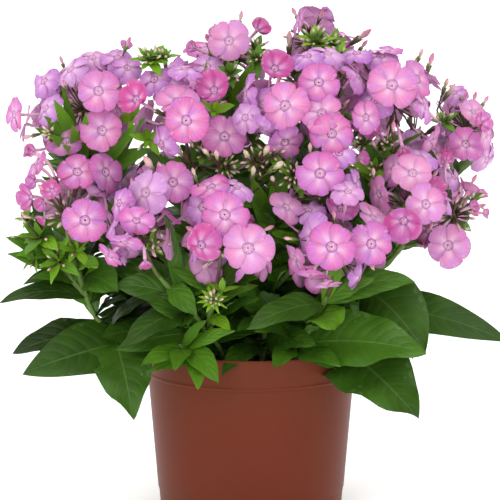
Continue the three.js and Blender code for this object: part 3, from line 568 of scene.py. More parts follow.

# ---- How the plant grows: flower heads ----
# A domed head of short-tubed florets on every upper run of stem: (name, its stem and run, the knot its
# twigs spring from, how far from it the florets stand, the florets in front). A floret's place is as the
# front view shows it, lift brings it forward, and it faces where turn and tilt point.

# Florets in front: (across, up, lift, turn, tilt, width, kind), and the kind is flat (f), a young
# deep-coloured cup (d), an older lilac one bent back (l) or half open (h). The lilac of l is partly
# painted shade, as most of those florets face away or up.
HEAD_TABLE = [
    ("head_left_top", (0, 0), (-112, -22, 272), 32, [
        (-104, 280, 2, 0, 12, 30, "f"), (-96, 293, -8, 10, 45, 28, "f"), (-101, 253, 2, 0, 20, 29, "f"),
        (-126, 246, 0, -15, 42, 27, "f"), (-123, 295, 0, -50, 40, 26, "l"),
        (-141, 287, 0, -45, 30, 24, "l"), (-108, 303, 0, 0, 60, 28, "l"), (-140, 268, 0, -55, 25, 25, "l"),
        (-161, 264, 0, -64, 5, 26, "f"), (-86, 308, 0, 40, 60, 14, "h"), (-149, 240, 0, -70, 10, 12, "h"),
        (-84, 248, -4, 70, 0, 27, "l"),
    ]),
    ("head_left_side", (0, 1), (-121, -60, 206), 26, [
        (-118, 225, 2, -5, 35, 27, "f"), (-99, 225, 0, 45, 15, 28, "f"), (-113, 192, 2, 0, 5, 29, "f"),
        (-146, 229, 0, -70, 25, 22, "f"), (-149, 208, 0, -75, 0, 20, "d"),
    ]),
    ("head_mid_left", (2, 0), (-44, -54, 265), 29, [
        (-44, 260, 4, 0, 12, 31, "f"), (-50, 273, -4, -8, 45, 29, "f"), (-18, 249, 0, 10, 9, 31, "f"),
        (-25, 280, 0, -20, 40, 27, "d"), (-61, 244, 0, -60, -5, 26, "l"), (-56, 283, -6, -35, 50, 29, "l"),
        (-45, 295, 0, 0, 75, 26, "l"), (-78, 274, 8, -40, 25, 26, "d"),
    ]),
    ("head_crown_left", (2, 1), (-12, 6, 304), 24, [
        (-15, 314, 2, 0, 15, 29, "f"), (4, 321, 0, 35, 35, 22, "h"), (-38, 309, 0, -60, 25, 14, "h"),
    ]),
    ("head_mid", (3, 0), (12, -48, 268), 28, [
        (16, 295, 0, 30, 40, 27, "d"), (23, 270, 3, 5, 10, 32, "f"), (8, 271, -5, -30, 15, 28, "l"),
        (-4, 279, 0, -70, 10, 27, "l"), (6, 255, 0, -40, -40, 22, "l"), (23, 245, 0, 15, -30, 26, "f"),
    ]),
    ("head_mid_right", (4, 0), (52, -48, 272), 28, [
        (46, 286, 3, 0, 15, 29, "f"), (48, 265, 0, 0, 30, 28, "f"), (55, 251, 6, 5, 12, 30, "f"),
        (38, 304, 0, -20, 65, 27, "l"), (52, 306, -4, 20, 65, 26, "l"), (73, 291, 0, 70, 30, 27, "l"),
    ]),
    ("head_crown_right", (4, 1), (40, 32, 313), 22, [
        (45, 331, 0, 165, 36, 29, "l"), (33, 328, 0, -75, 20, 20, "f"),
    ]),
    ("head_front_left", (1, 0), (-71, -84, 198), 30, [
        (-72, 211, 0, -35, 15, 32, "l"), (-53, 218, 2, 15, 12, 29, "f"), (-78, 192, 2, -10, -25, 24, "f"),
        (-86, 177, 0, -20, -60, 24, "f"), (-96, 168, 0, -50, -40, 20, "f"), (-72, 165, 0, 10, -60, 14, "h"),
    ]),
    ("head_front_mid", (1, 1), (-19, -96, 190), 29, [
        (-18, 196, 3, 0, 9, 32, "f"), (-33, 201, -3, -35, 10, 29, "l"), (-27, 215, 0, -20, 60, 27, "f"),
        (-10, 215, 0, 30, 60, 25, "l"), (-34, 175, 0, 35, 20, 28, "d"), (-2, 173, 4, 0, 9, 33, "f"),
    ]),
    ("head_front_gap", (3, 1), (49, -70, 218), 27, [
        (47, 224, 3, 0, 9, 31, "f"), (72, 233, 0, 65, 20, 18, "h"), (71, 215, -6, 60, 0, 24, "l"),
    ]),
    ("head_front_right", (5, 0), (56, -86, 182), 31, [
        (55, 174, 3, 0, 9, 32, "f"), (42, 182, -3, -40, 10, 30, "l"), (82, 176, 2, 12, 9, 29, "f"),
        (24, 201, 0, 35, 35, 25, "f"), (61, 200, 0, 25, 35, 27, "d"), (39, 199, -2, -20, 60, 24, "l"),
        (30, 166, 0, -60, -20, 22, "f"), (42, 154, 0, -20, -65, 22, "f"), (51, 148, 0, 15, -65, 20, "f"),
        (83, 194, 0, 45, 40, 24, "f"),
    ]),
    ("head_right_top", (6, 0), (95, -24, 276), 31, [
        (96, 284, 3, 0, 20, 34, "f"), (113, 288, -2, 45, 25, 28, "f"), (84, 274, 0, -10, 40, 28, "l"),
        (68, 265, 2, -40, 30, 26, "f"), (93, 307, 0, 0, 85, 22, "f"), (118, 270, 0, 70, 20, 26, "l"),
        (123, 246, 4, 60, -20, 22, "f"),
    ]),
    ("head_right_edge", (7, 0), (146, 8, 255), 24, [
        (138, 279, 0, -10, 60, 22, "l"), (151, 266, 0, 30, 35, 20, "f"), (160, 250, 0, 60, 0, 22, "f"),
        (146, 244, 2, -20, -15, 26, "f"), (161, 233, 0, 50, -20, 26, "l"),
    ]),
    ("head_right_front", (6, 1), (105, -58, 211), 26, [
        (110, 224, 2, 5, 35, 28, "f"), (115, 235, -6, 20, 60, 26, "l"), (97, 227, 0, -50, 20, 24, "f"),
        (87, 210, 0, -60, -10, 26, "f"), (119, 203, 2, 10, 9, 28, "f"), (104, 192, 0, -10, -25, 28, "d"),
    ]),
    ("head_right_low", (7, 1), (136, -18, 200), 26, [
        (134, 175, 6, 0, 5, 30, "f"), (138, 222, 0, 60, 30, 22, "l"), (134, 234, 0, 10, 70, 16, "h"),
    ]),
    ("head_back_left_top", (8, 0), (-124, 44, 252), 31, []),
    ("head_back_left_low", (8, 1), (-86, 84, 211), 31, []),
    ("head_back_mid_left_top", (9, 0), (-31, 70, 277), 31, []),
    ("head_back_mid_left_low", (9, 1), (-19, 103, 214), 31, []),
    ("head_back_mid_right_top", (10, 0), (60, 65, 285), 31, []),
    ("head_back_mid_right_low", (10, 1), (46, 98, 226), 31, []),
    ("head_back_right_top", (11, 0), (113, 60, 241), 31, []),
    ("head_back_right_low", (11, 1), (94, 91, 194), 31, []),
]
HEADS = [
    {"name": name, "stem": stem, "run": run, "knot": np.array(knot, dtype=float), "reach": reach,
     "florets": florets}
    for name, (stem, run), knot, reach, florets in HEAD_TABLE
]
# Places where the front view is open between the heads: (left, right, low, high).
AIRY = [
    (94, 126, 244, 268), (157, 180, 190, 228), (12, 28, 300, 335), (158, 184, 254, 280),
    (144, 180, 168, 206),
]
# Florets by rule: how many are tried, over how much of the dome, how far apart in mm, and what share of
# them is of each kind, added up.
CROWN = {"tries": 24, "spread": 1.3, "apart": 25, "clear": 21, "kinds": {"f": 0.62, "l": 0.85, "d": 1}}
BUDS = {"tries": 17, "spread": 1.6, "most": 2, "past": 3, "clear": 14, "apart": 9}


def front_florets(head):
    """The florets in front, on the sphere about the knot that their places in the front view fall on."""
    knot = head["knot"]
    for across, up, lift, turn, tilt, width, kind in head["florets"]:
        flat = seen(across, up, knot[1])
        side = head["reach"] ** 2 - (flat[0] - knot[0]) ** 2 - (flat[2] - knot[2]) ** 2
        back = -0.4 if tilt > 70 or abs(turn) > 90 else 1
        depth = knot[1] - math.sqrt(max(0, side)) * back - lift
        yield {"centre": seen(across, up, depth), "facing": facing(turn, tilt), "width": width,
               "kind": kind, "spin": across}


def from_pole(polar, around):
    """The direction this far from straight up and this far round."""
    across = math.sin(polar)
    return np.array((across * math.cos(around), across * math.sin(around), math.cos(polar)))


def spiral(index, tries, spread, start, turn):
    """A direction on a dome, spread as seeds are in a sunflower."""
    polar = math.acos(1 - (index + start) / tries * spread)
    around = index * GOLDEN + turn
    return from_pole(polar, around)


def crowded(number, centre, placed, room):
    """Whether a floret here is too near the others of its own head or of another head."""
    return any(
        np.linalg.norm(other["centre"] - centre) < room["apart" if other["head"] == number else "clear"]
        for other in placed
    )


def other_florets(number, head, placed, draw):
    """The florets of the rest of a dome, behind and beside the ones in front."""
    for i in range(CROWN["tries"]):
        out = spiral(i, CROWN["tries"], CROWN["spread"], 0.5, number)
        wobble, sort, size = next(draw), next(draw), next(draw)
        if out[1] < (0.1 if head["florets"] else -0.45):
            continue
        centre = head["knot"] + out * head["reach"] * (0.94 + 0.12 * wobble)
        if crowded(number, centre, placed, CROWN) or within(AIRY, centre):
            continue
        kind = next(kind for kind, share in CROWN["kinds"].items() if sort < share)
        placed.append({"head": number, "centre": centre, "facing": unit(out + 0.25 * UP),
                       "width": 26 + 4 * size, "kind": kind, "spin": 360 * wobble})


def head_buds(number, head, placed, buds, draw):
    """Unopened buds that stand past the florets of a head."""
    count = 0
    for i in range(BUDS["tries"]):
        if count == BUDS["most"]:
            break
        out = spiral(i, BUDS["tries"], BUDS["spread"], 0.3, 2 * number + 1)
        tip = head["knot"] + out * (head["reach"] + BUDS["past"] + 6 * next(draw))
        if any(np.linalg.norm(other["centre"] - tip) < BUDS["clear"] for other in placed):
            continue
        if any(np.linalg.norm(other["tip"] - tip) < BUDS["apart"] for other in buds):
            continue
        buds.append({"head": number, "tip": tip})
        count += 1


draw = random_source(11)
florets, buds = [], []
for number, head in enumerate(HEADS):
    florets += [{"head": number, **floret} for floret in front_florets(head)]
for number, head in enumerate(HEADS):
    other_florets(number, head, florets, draw)
for number, head in enumerate(HEADS):
    head_buds(number, head, florets, buds, draw)

# ---- How the plant grows: leaves ----
# Lance-shaped leaves without stalks, in crossed pairs up every stem, larger towards the pot. Those in
# front are given as (stem, run, height, across, up, depth, width, arch, face): where the base is, where
# the tip is in the front view, and how far the upper side is turned from the sky to the front.

FRONT_LEAVES = [
    (0, 0, 149, -171, 136, -66, 17, 11, 42), (0, 0, 158, -155, 148, -60, 12, 14, 40),
    (0, 0, 161, -90, 143, -84, 26, 8, 70), (0, 0, 122, -162, 102, -76, 26, 10, 50),
    (0, 0, 119, -155, 88, -92, 43, 7, 62), (0, 0, 122, -80, 57, -104, 42, 14, 52),
    (1, 0, 142, -88, 105, -100, 22, 12, 50), (12, 0, 117, -75, 93, -96, 14, 6, 50),
    (12, 0, 118, -52, 90, -104, 14, 6, 40), (12, 0, 117, -22, 81, -106, 17, 8, 55),
    (12, 0, 113, -68, 89, -82, 16, 4, 50), (12, 0, 112, -36, 77, -104, 16, 8, 50),
    (12, 0, 118, -11, 117, -92, 10, 4, 60), (12, 0, 119, -30, 124, -86, 8, 4, 60),
    (1, 0, 160, -37, 127, -98, 16, 4, 70), (3, 0, 128, -9, 117, -96, 13, 5, 60),
    (5, 0, 150, -3, 118, -112, 22, 8, 50), (3, 0, 114, 44, 107, -96, 20, 8, 60),
    (3, 0, 112, -20, 86, -82, 18, 12, 50), (5, 0, 114, 16, 91, -94, 16, 8, 50),
    (5, 0, 142, 57, 117, -106, 28, 6, 60), (1, 0, 152, -94, 148, -72, 20, 6, 60),
    (3, 0, 134, -14, 152, -70, 16, 2, 70), (3, 0, 146, 24, 158, -86, 18, 6, 60),
    (5, 0, 112, 61, 93, -95, 18, 6, 40), (5, 0, 151, 112, 150, -84, 21, 13, 52),
    (6, 0, 152, 119, 102, -80, 46, 12, 65), (7, 0, 134, 176, 109, -28, 29, 14, 65),
    (5, 0, 117, 119, 102, -100, 42, 10, 60), (6, 0, 114, 114, 57, -92, 54, 13, 54),
    (7, 1, 180.6, 101, 177, -40, 12, 4, 40), (6, 0, 200, 66, 230, -34, 18, 4, 70),
    (0, 0, 200, -80, 236, -34, 18, 6, 60), (0, 2, 166, -167, 181, -52, 12, 5, 50),
    (0, 2, 164, -166, 169, -58, 13, 6, 50), (0, 2, 176, -150, 208, -48, 9, 3, 60),
    (0, 2, 160, -150, 152, -72, 10, 6, 50),
]
CORE = 12                   # mm, radius of the knot of twigs in a head
LEAF_ROOT = -1.1            # mm, how far the midrib starts inside the stem
# Room that leaves keep from what is already there, in mm.
EYE_ROOM, LOBE_ROOM, TWIG_ROOM, LEAF_ROOM = 5, 4.5, 2.5, 3
RIM_ROOM, LIP_ROOM = 4, 3
NODES = [(114, 92), (131, 86), (150, 76), (172, 62), (196, 52)]     # height, leaf length
LEANS = {"low": -0.22, "high": 0.4, "spread": 0.35}
SPREAD = {"side": 166, "back": 142, "front": 90}
TRIES, TRY_SWING = 8, 16    # how often a leaf is tried, and degrees further round each time

taken, rooms = [], []


def take(centre, room):
    taken.append(centre)
    rooms.append(room)


def upright_turn(way):
    """The shortest turn that brings the up axis to this way."""
    turn = np.array((-way[1], way[0], 0.0, 1.0 + way[2]))
    return turn / np.linalg.norm(turn)


def turned(vector, turn):
    side = 2 * np.cross(turn[:3], vector)
    return vector + turn[3] * side + np.cross(turn[:3], side)


for floret in florets:
    knot = HEADS[floret["head"]]["knot"]
    turn = upright_turn(floret["facing"])
    take(floret["centre"], EYE_ROOM)
    for i in range(6):
        spoke = 0.34 * floret["width"] * np.array((math.cos(i * math.pi / 3), math.sin(i * math.pi / 3), 0))
        take(turned(spoke, turn) + floret["centre"], LOBE_ROOM)
    for share in (0.25, 0.5, 0.75):
        take(floret["centre"] + (knot - floret["centre"]) * share, TWIG_ROOM)
for head in HEADS:
    take(head["knot"], CORE)
for points in (run for stem in RUNS for run in stem):
    for i in range(2, 31):
        take(on_line(points, i / 30), TWIG_ROOM)


def midrib(leaf):
    """The three control points of a leaf's midrib."""
    control = leaf["base"] + (leaf["tip"] - leaf["base"]) * 0.45 + UP * leaf["arch"]
    foot = leaf["base"] + unit(control - leaf["base"]) * LEAF_ROOT
    return [foot, control, leaf["tip"]]


def rib_heading(rib, share):
    return unit((rib[1] - rib[0]) * (1 - share) + (rib[2] - rib[1]) * share)


def leaf_points(leaf):
    rib = midrib(leaf)
    places = []
    for share in (0.3, 0.48, 0.66, 0.84, 1):
        side = unit(np.cross(rib_heading(rib, share), leaf["normal"]))
        half = 0.4 * leaf["width"] * math.sin(math.pi * min(0.9, share))
        places += [bezier(rib, share) + side * across for across in (-half, 0, half)]
    return places


# Places where the front view is open between the leaves: (left, right, low, high).
OPEN = [
    (92, 180, 150, 172), (112, 180, 40, 118), (150, 180, 138, 226), (-180, -106, 124, 135),
    (-180, -152, 150, 330), (-180, -98, 0, 84), (102, 118, 251, 262), (120, 131, 217, 238),
]


def is_clear(leaf, room=LEAF_ROOM):
    places = leaf_points(leaf)
    for place in places:
        if math.hypot(place[0], place[1]) <= RIM_RADIUS + RIM_ROOM and place[2] <= POT_HEIGHT + LIP_ROOM:
            return False
        if within(OPEN, place):
            return False
    gaps = np.linalg.norm(np.array(taken)[:, None] - np.array(places), axis=2)
    return not (gaps <= np.array(rooms)[:, None] + room).any()


leaves = []


def add_leaf(leaf):
    leaves.append(leaf)
    for place in leaf_points(leaf):
        take(place, LEAF_ROOM)


def placed_leaf(stem, run, height, across, up, depth, width, arch, face):
    """A listed leaf: its base on a stem, its tip in the front view."""
    return {"stem": stem, "base": at_height(RUNS[stem][run], height), "tip": seen(across, up, depth),
            "width": width, "arch": arch, "normal": facing(0, 90 - face)}


for row in FRONT_LEAVES:
    add_leaf(placed_leaf(*row))


def leans_out(tip, margin=0):
    """Whether a leaf's tip is outside the plant's outline from above."""
    front_or_back = SPREAD["front"] if tip[1] < 0 else SPREAD["back"] - margin
    return math.hypot(tip[0] / (SPREAD["side"] - margin), tip[1] / front_or_back) > 1


def other_leaf(stem, base, turn, length):
    """A leaf at a node, tried a few times: each try swings further round and reaches less far."""
    rise = (base[2] - NODES[0][0]) / (NODES[-1][0] - NODES[0][0])
    for i in range(TRIES):
        swing, lean, size = next(draw), next(draw), next(draw)
        out = facing(turn + (swing - 0.5) * TRY_SWING * i, 0)
        reach = length * (0.85 + 0.25 * size) * (1 - 0.05 * i)
        climb = LEANS["low"] + (LEANS["high"] - LEANS["low"]) * rise + LEANS["spread"] * (lean - 0.5)
        tip = base + out * reach * 0.92 + UP * reach * climb
        middle = base + tip
        middle[2] = 0
        leaf = {"stem": stem, "base": base, "tip": tip, "width": reach * 0.33, "arch": reach * 0.18,
                "normal": 0.7 * UP + 0.7 * unit(middle)}
        if not leans_out(tip) and is_clear(leaf):
            add_leaf(leaf)
            return


for stem, runs in enumerate(RUNS):
    if STEM_NAMES[stem].startswith("shoot"):
        continue
    for run, points in enumerate(runs):
        start, end = on_line(points, 0)[2], on_line(points, 1)[2]
        for level, (height, length) in enumerate(NODES):
            if height < start + 4 or height > end - 12:
                continue
            base = at_height(points, height + 3 * (stem % 3))
            for flip in (0, 180):
                other_leaf(stem, base, 47 * stem + 90 * (level + run) + flip, length)

# ---- How the plant grows: young tips, late buds and half-open florets ----
# Young side tips end in a rosette of narrow bright leaves round green calyces. (head, across, up, depth,
# turn, tilt, reach, leaves, calyces, tone) places one in the front view and says where it points.

YOUNG_TIPS = [
    (8, -26, 137, -98, 0, 35, 10, 26, 15, 0.8), (8, -20, 144, -96, 20, 60, 12, 4, 0, 0.7),
    (2, -68, 300, -42, -10, 60, 15, 18, 12, 0.64), (2, -59, 302, -42, 15, 70, 12, 12, 6, 0.62),
    (1, -143, 180, -50, -40, 40, 24, 9, 5, 0.6), (1, -131, 164, -56, -40, 20, 18, 8, 5, 0.66),
    (1, -151, 192, -48, -60, 50, 13, 6, 6, 0.7), (1, -119, 172, -60, -10, 30, 17, 8, 3, 0.7),
    (1, -110, 184, -62, 10, 20, 12, 4, 4, 0.6), (1, -147, 166, -54, -60, 0, 14, 6, 3, 0.6),
    (6, 44, 312, 4, -10, 65, 16, 12, 14, 0.72), (6, 55, 311, 6, 40, 45, 15, 10, 6, 0.62),
    (3, 3, 308, -4, 35, 45, 13, 5, 10, 0.5), (3, -14, 291, -24, -10, 20, 13, 9, 8, 0.5),
    (3, 4, 301, -14, 10, 40, 13, 7, 10, 0.5), (11, 62, 302, -12, 20, 45, 13, 9, 6, 0.7),
    (12, 131, 258, -6, -20, 70, 13, 6, 9, 0.65), (0, -136, 251, -48, -40, 20, 9, 4, 10, 0.7),
    (2, -25, 266, -50, 20, 20, 15, 5, 1, 0.82), (2, -80, 262, -34, -30, 10, 14, 4, 1, 0.7),
    (2, -70, 247, -46, 0, 10, 16, 5, 1, 0.75), (9, 65, 228, -64, 20, 50, 15, 4, 1, 0.88),
    (5, 28, 291, -26, -20, 50, 14, 5, 2, 0.5), (2, -31, 236, -56, 0, 40, 13, 3, 18, 0.55),
    (2, -18, 228, -60, 20, 10, 15, 3, 20, 0.5), (4, 4, 232, -64, -20, 10, 14, 2, 18, 0.5),
    (9, 14, 236, -64, -20, 30, 14, 2, 18, 0.5), (9, 29, 222, -72, 0, 10, 15, 2, 20, 0.5),
    (7, -66, 175, -88, 0, -10, 10, 4, 9, 0.6), (14, 142, 190, -28, 30, -20, 10, 3, 5, 0.5),
    (14, 150, 205, -22, 60, 20, 12, 2, 7, 0.4), (13, 84, 226, -50, -20, 40, 11, 4, 6, 0.6),
    (11, 86, 240, -34, -10, 10, 12, 4, 8, 0.6), (11, 76, 300, -24, -30, 50, 12, 4, 7, 0.55),
    (11, 76, 243, -50, -20, 30, 12, 2, 14, 0.4), (11, 92, 243, -48, 20, 30, 12, 2, 14, 0.4),
]
# Single buds: (head, across, up, depth, length, turn, tilt, unripe); a place is the bud's tip.
LATE_BUDS = [
    (0, -130, 304, -18, 8, -30, 60, 0.3), (0, -82, 317, -30, 9, 45, 60, 0.0),
    (0, -156, 248, -40, 9, -88, -12, 0.3), (1, -156, 195, -56, 8, -85, 10, 0.5),
    (1, -97, 184, -84, 8, 30, -20, 0.1), (2, -58, 306, -36, 9, 10, 80, 0.1),
    (3, -31, 319, 0, 8, -40, 40, 0.0), (6, 26, 321, 14, 13, 5, 85, 0.4), (6, 36, 315, 4, 9, -20, 65, 0.2),
    (6, 82, 322, 20, 14, 65, 35, 0.1), (11, 117, 309, -24, 9, 40, 60, 0.6),
    (11, 124, 306, -24, 12, 30, 62, 0.1), (11, 97, 260, -58, 10, 0, 70, 0.1),
    (11, 82, 246, -60, 8, -30, 40, 0.2), (12, 134, 289, -4, 10, 30, 60, 0.7),
    (12, 139, 285, -6, 11, 50, 50, 0.6), (12, 148, 279, 0, 9, 55, 40, 0.1),
    (7, -73, 236, -90, 16, -45, 50, 0.55), (2, -54, 245, -72, 16, -45, 45, 0.6),
    (7, -63, 232, -88, 12, -20, 60, 0.5), (7, -67, 172, -100, 6, -10, -40, 0.7),
    (7, -60, 180, -100, 6, 20, -30, 0.8), (7, -84, 172, -100, 6, -40, -40, 0.6),
    (13, 83, 228, -70, 9, -10, 60, 0.6), (14, 141, 210, -40, 9, 20, 60, 0.1),
    (14, 149, 213, -34, 9, 60, 50, 0.0), (14, 160, 203, -28, 9, 75, 20, 0.1),
    (14, 155, 195, -30, 9, 70, -20, 0.0), (14, 142, 184, -44, 8, 20, -50, 0.2),
    (14, 121, 185, -44, 8, -30, -40, 0.2), (10, 84, 158, -104, 7, 40, -40, 0.7),
    (10, 22, 180, -110, 8, -60, 10, 0.5), (8, -40, 228, -100, 8, -30, 60, 0.5),
    (9, 40, 245, -84, 9, -10, 70, 0.5), (4, 12, 243, -88, 13, 20, 40, 0.8),
    (9, 22, 232, -92, 13, 40, 30, 0.9), (9, 31, 229, -90, 11, -20, 30, 0.8),
    (4, -5, 240, -84, 11, -30, 40, 0.8), (4, 2, 229, -88, 11, 10, 50, 0.9),
    (2, -24, 240, -86, 11, -10, 50, 0.8), (2, -33, 241, -84, 10, -40, 40, 0.9),
    (9, 14, 222, -92, 10, -10, 30, 0.8), (9, 36, 219, -90, 9, 30, 40, 0.9),
]
# Florets half open or seen from the side: (head, across, up, depth, turn, tilt, width, kind).
HALF_OPEN = [
    (1, -150, 238, -60, -80, 15, 12, "h"), (11, 88, 252, -60, -30, 30, 11, "h"),
    (11, 103, 242, -62, 10, -35, 15, "h"), (12, 120, 267, -20, -40, 45, 14, "h"),
    (12, 156, 258, -14, 40, 20, 16, "d"), (14, 133, 232, -36, 10, 40, 14, "h"),
    (0, -84, 296, -36, 10, 40, 22, "l"), (2, -66, 288, -50, -20, 40, 24, "l"),
    (3, -30, 297, -16, -10, 40, 24, "l"), (4, -4, 262, -74, -30, 20, 24, "l"),
    (6, 42, 300, -14, -10, 45, 26, "l"), (5, 78, 262, -68, 30, 10, 24, "f"),
    (11, 72, 306, -34, -20, 70, 24, "l"), (11, 88, 304, -30, 10, 65, 26, "l"),
    (10, 66, 212, -100, 10, 50, 24, "l"), (7, -90, 204, -96, -50, 20, 24, "l"),
    (9, 60, 238, -84, 10, 50, 24, "l"), (0, -91, 303, -26, 10, 50, 22, "l"),
    (1, -147, 238, -62, -50, 20, 15, "h"), (1, -146, 219, -66, -40, 0, 16, "h"),
    (1, -141, 204, -70, -30, -10, 15, "h"), (1, -135, 212, -74, -20, 20, 16, "d"),
    (1, -140, 194, -66, -60, -30, 14, "h"), (14, 149, 201, -36, 50, 20, 14, "h"),
    (14, 157, 197, -30, 80, 0, 12, "h"),
]
lot = random_source(29)     # for looks alone; the layout's draws come from draw
for number, across, up, depth, turn, tilt, width, kind in HALF_OPEN:
    florets.append({"head": number, "centre": seen(across, up, depth), "facing": facing(turn, tilt),
                    "width": width, "kind": kind, "spin": across})
    take(seen(across, up, depth), 0.4 * width)


def joint_near(number, place):
    """The nearest place on the head's own stem, or its knot."""
    spots = [HEADS[number]["knot"]]
    spots += [on_line(points, i / 40) for points in RUNS[HEADS[number]["stem"]] for i in range(8, 41)]
    return min(spots, key=lambda spot: np.linalg.norm(spot - place))


def leaning(way, polar, around):
    """A direction that leans this far from another one."""
    return turned(from_pole(polar, around), upright_turn(way))


CROWDED = 18                # leaves in a rosette above which they are needle-narrow
FRESH = 0.7                 # tone of a tip above which its calyces are green all over
rosette_leaves, rosette_calyces = [], []
for number, across, up, depth, turn, tilt, reach, count, cups, tone in YOUNG_TIPS:
    knot, way = seen(across, up, depth), facing(turn, tilt)
    take(knot, 0.5 * reach)
    for i in range(count):
        polar = math.radians(25 + 75 * (i + 0.5) / count)
        out = leaning(way, polar, i * GOLDEN + number)
        length = reach * (0.75 + 0.4 * next(lot)) * (0.6 + 0.5 * (i + 1) / count)
        rosette_leaves.append({
            "stem": HEADS[number]["stem"], "base": knot, "tip": knot + out * length,
            "width": length * ((0.16 if count > CROWDED else 0.34) + 0.08 * next(lot)) + 0.8,
            "arch": length * 0.1, "normal": unit(way + 0.3 * UP - 0.2 * out),
            "tone": tone + 0.15 * (next(lot) - 0.5)})
    for i in range(cups):
        out = leaning(way, math.radians(70 * math.sqrt((i + 0.5) / cups)), i * GOLDEN + 2 * number)
        tip = knot + out * reach * (0.55 + 0.35 * next(lot))
        rosette_calyces.append({"head": number, "knot": knot, "tip": tip, "green": tone > FRESH})

# Leaves that show between the heads: (stem, run, height, across, up, depth, width, arch, face, tone). The
# low tones of the lowest of them are painted shade.
LEAVES_BETWEEN = [
    (8, 0, 112, -104, 128, -6, 26, 8, 60, 0.12), (0, 0, 119.5, -102, 112, -62, 24, 8, 60, 0.16),
    (8, 0, 124, -102, 144, -4, 24, 6, 60, 0.14), (1, 0, 124, -92, 104, -78, 26, 8, 60, 0.2),
    (8, 1, 140, -94, 152, 0, 26, 6, 60, 0.12), (1, 0, 132, -70, 136, -84, 20, 6, 60, 0.2),
    (8, 0, 118, -84, 104, -20, 26, 8, 60, 0.1), (0, 0, 222, -66, 241, -40, 15, 5, 60, 0.45),
    (0, 0, 200, -89, 201, -44, 9, 3, 60, 0.75), (0, 0, 236, -129, 286, -36, 7, 3, 50, 0.6),
    (0, 0, 240, -141, 263, -54, 10, 4, 65, 0.5), (0, 0, 236, -138, 250, -56, 10, 4, 60, 0.6),
    (0, 0, 241, -134, 274, -56, 10, 3, 70, 0.55), (0, 0, 232, -128, 243, -62, 10, 3, 65, 0.7),
    (0, 0, 238, -147, 255, -50, 8, 3, 60, 0.45), (0, 0, 236, -122, 257, -64, 9, 3, 60, 0.62),
    (0, 0, 224, -112, 266, -56, 9, 3, 70, 0.5), (0, 0, 214, -72, 262, -52, 11, 4, 65, 0.5),
    (8, 0, 116, -98, 137, -30, 16, 4, 60, 0.08), (0, 0, 214, -78, 254, -6, 18, 4, 60, 0.35),
    (0, 0, 228, -96, 278, -4, 16, 4, 65, 0.4), (2, 0, 214, -72, 240, -12, 16, 4, 60, 0.3),
    (2, 0, 228, -30, 296, -36, 9, 4, 65, 0.4), (2, 1, 250, -22, 268, -46, 15, 4, 60, 0.62),
    (2, 1, 262, 2, 300, -24, 12, 3, 60, 0.6), (4, 1, 262, 30, 296, -26, 12, 3, 60, 0.6),
    (4, 0, 226, 64, 268, -66, 12, 3, 65, 0.6), (6, 0, 226, 74, 254, -56, 8, 4, 65, 0.3),
    (6, 1, 182, 112, 214, -66, 12, 4, 60, 0.5), (5, 0, 150, 68, 186, -104, 12, 4, 70, 0.6),
    (1, 0, 150, -58, 196, -98, 10, 4, 70, 0.2), (4, 0, 205, 66, 228, -58, 10, 3, 60, 0.85),
    (7, 0, 226, 136, 236, -18, 11, 3, 50, 0.3), (7, 0, 214, 117, 247, -20, 8, 3, 60, 0.25),
    (2, 1, 276, -31, 314, -10, 6, 3, 50, 0.5), (2, 0, 232, -30, 302, -36, 5, 4, 50, 0.45),
    (6, 0, 222, 60, 240, -50, 12, 4, 60, 0.8), (5, 0, 152, 84, 152, -92, 13, 5, 60, 0.4),
    (8, 0, 190, -128, 166, -30, 14, 5, 50, 0.7), (0, 2, 178, -160, 168, -60, 10, 4, 55, 0.55),
    (0, 1, 170, -104, 160, -84, 14, 5, 60, 0.6), (1, 1, 146, -17, 151, -94, 8, 3, 60, 0.6),
    (1, 1, 140, -14, 117, -100, 10, 3, 60, 0.7), (3, 0, 190, 0, 222, -64, 12, 3, 70, 0.5),
    (3, 0, 200, 26, 236, -66, 12, 3, 70, 0.55), (3, 0, 180, -12, 184, -72, 14, 4, 70, 0.4),
    (4, 0, 190, 60, 196, -56, 14, 4, 70, 0.45), (2, 0, 200, -52, 226, -52, 12, 4, 70, 0.4),
]
rosette_leaves += [{**placed_leaf(*row), "tone": tone} for *row, tone in LEAVES_BETWEEN]

# ---- How the plant grows: small leaves and later florets ----
# Short side leaves crowd every stem between its pairs, and later florets open inside each head under
# the first ones. They are worked out last, in the room that the others leave.

SIDE_LEAVES = {"first": 103, "step": 8, "around": 3, "low": 58, "high": 30, "room": 0.0, "tries": 7}
LATER = {"tries": 24, "spread": 1.72, "near": 0.62, "far": 0.8, "apart": 15, "clear": 13,
         "kinds": {"l": 0.5, "f": 0.85, "d": 1}}
BROAD_LEAVES = [(52, 124, 84, 146)]     # where the broad low leaves on the right stay uncovered
BROAD_DEPTH = -35                       # how far forward they are covered from

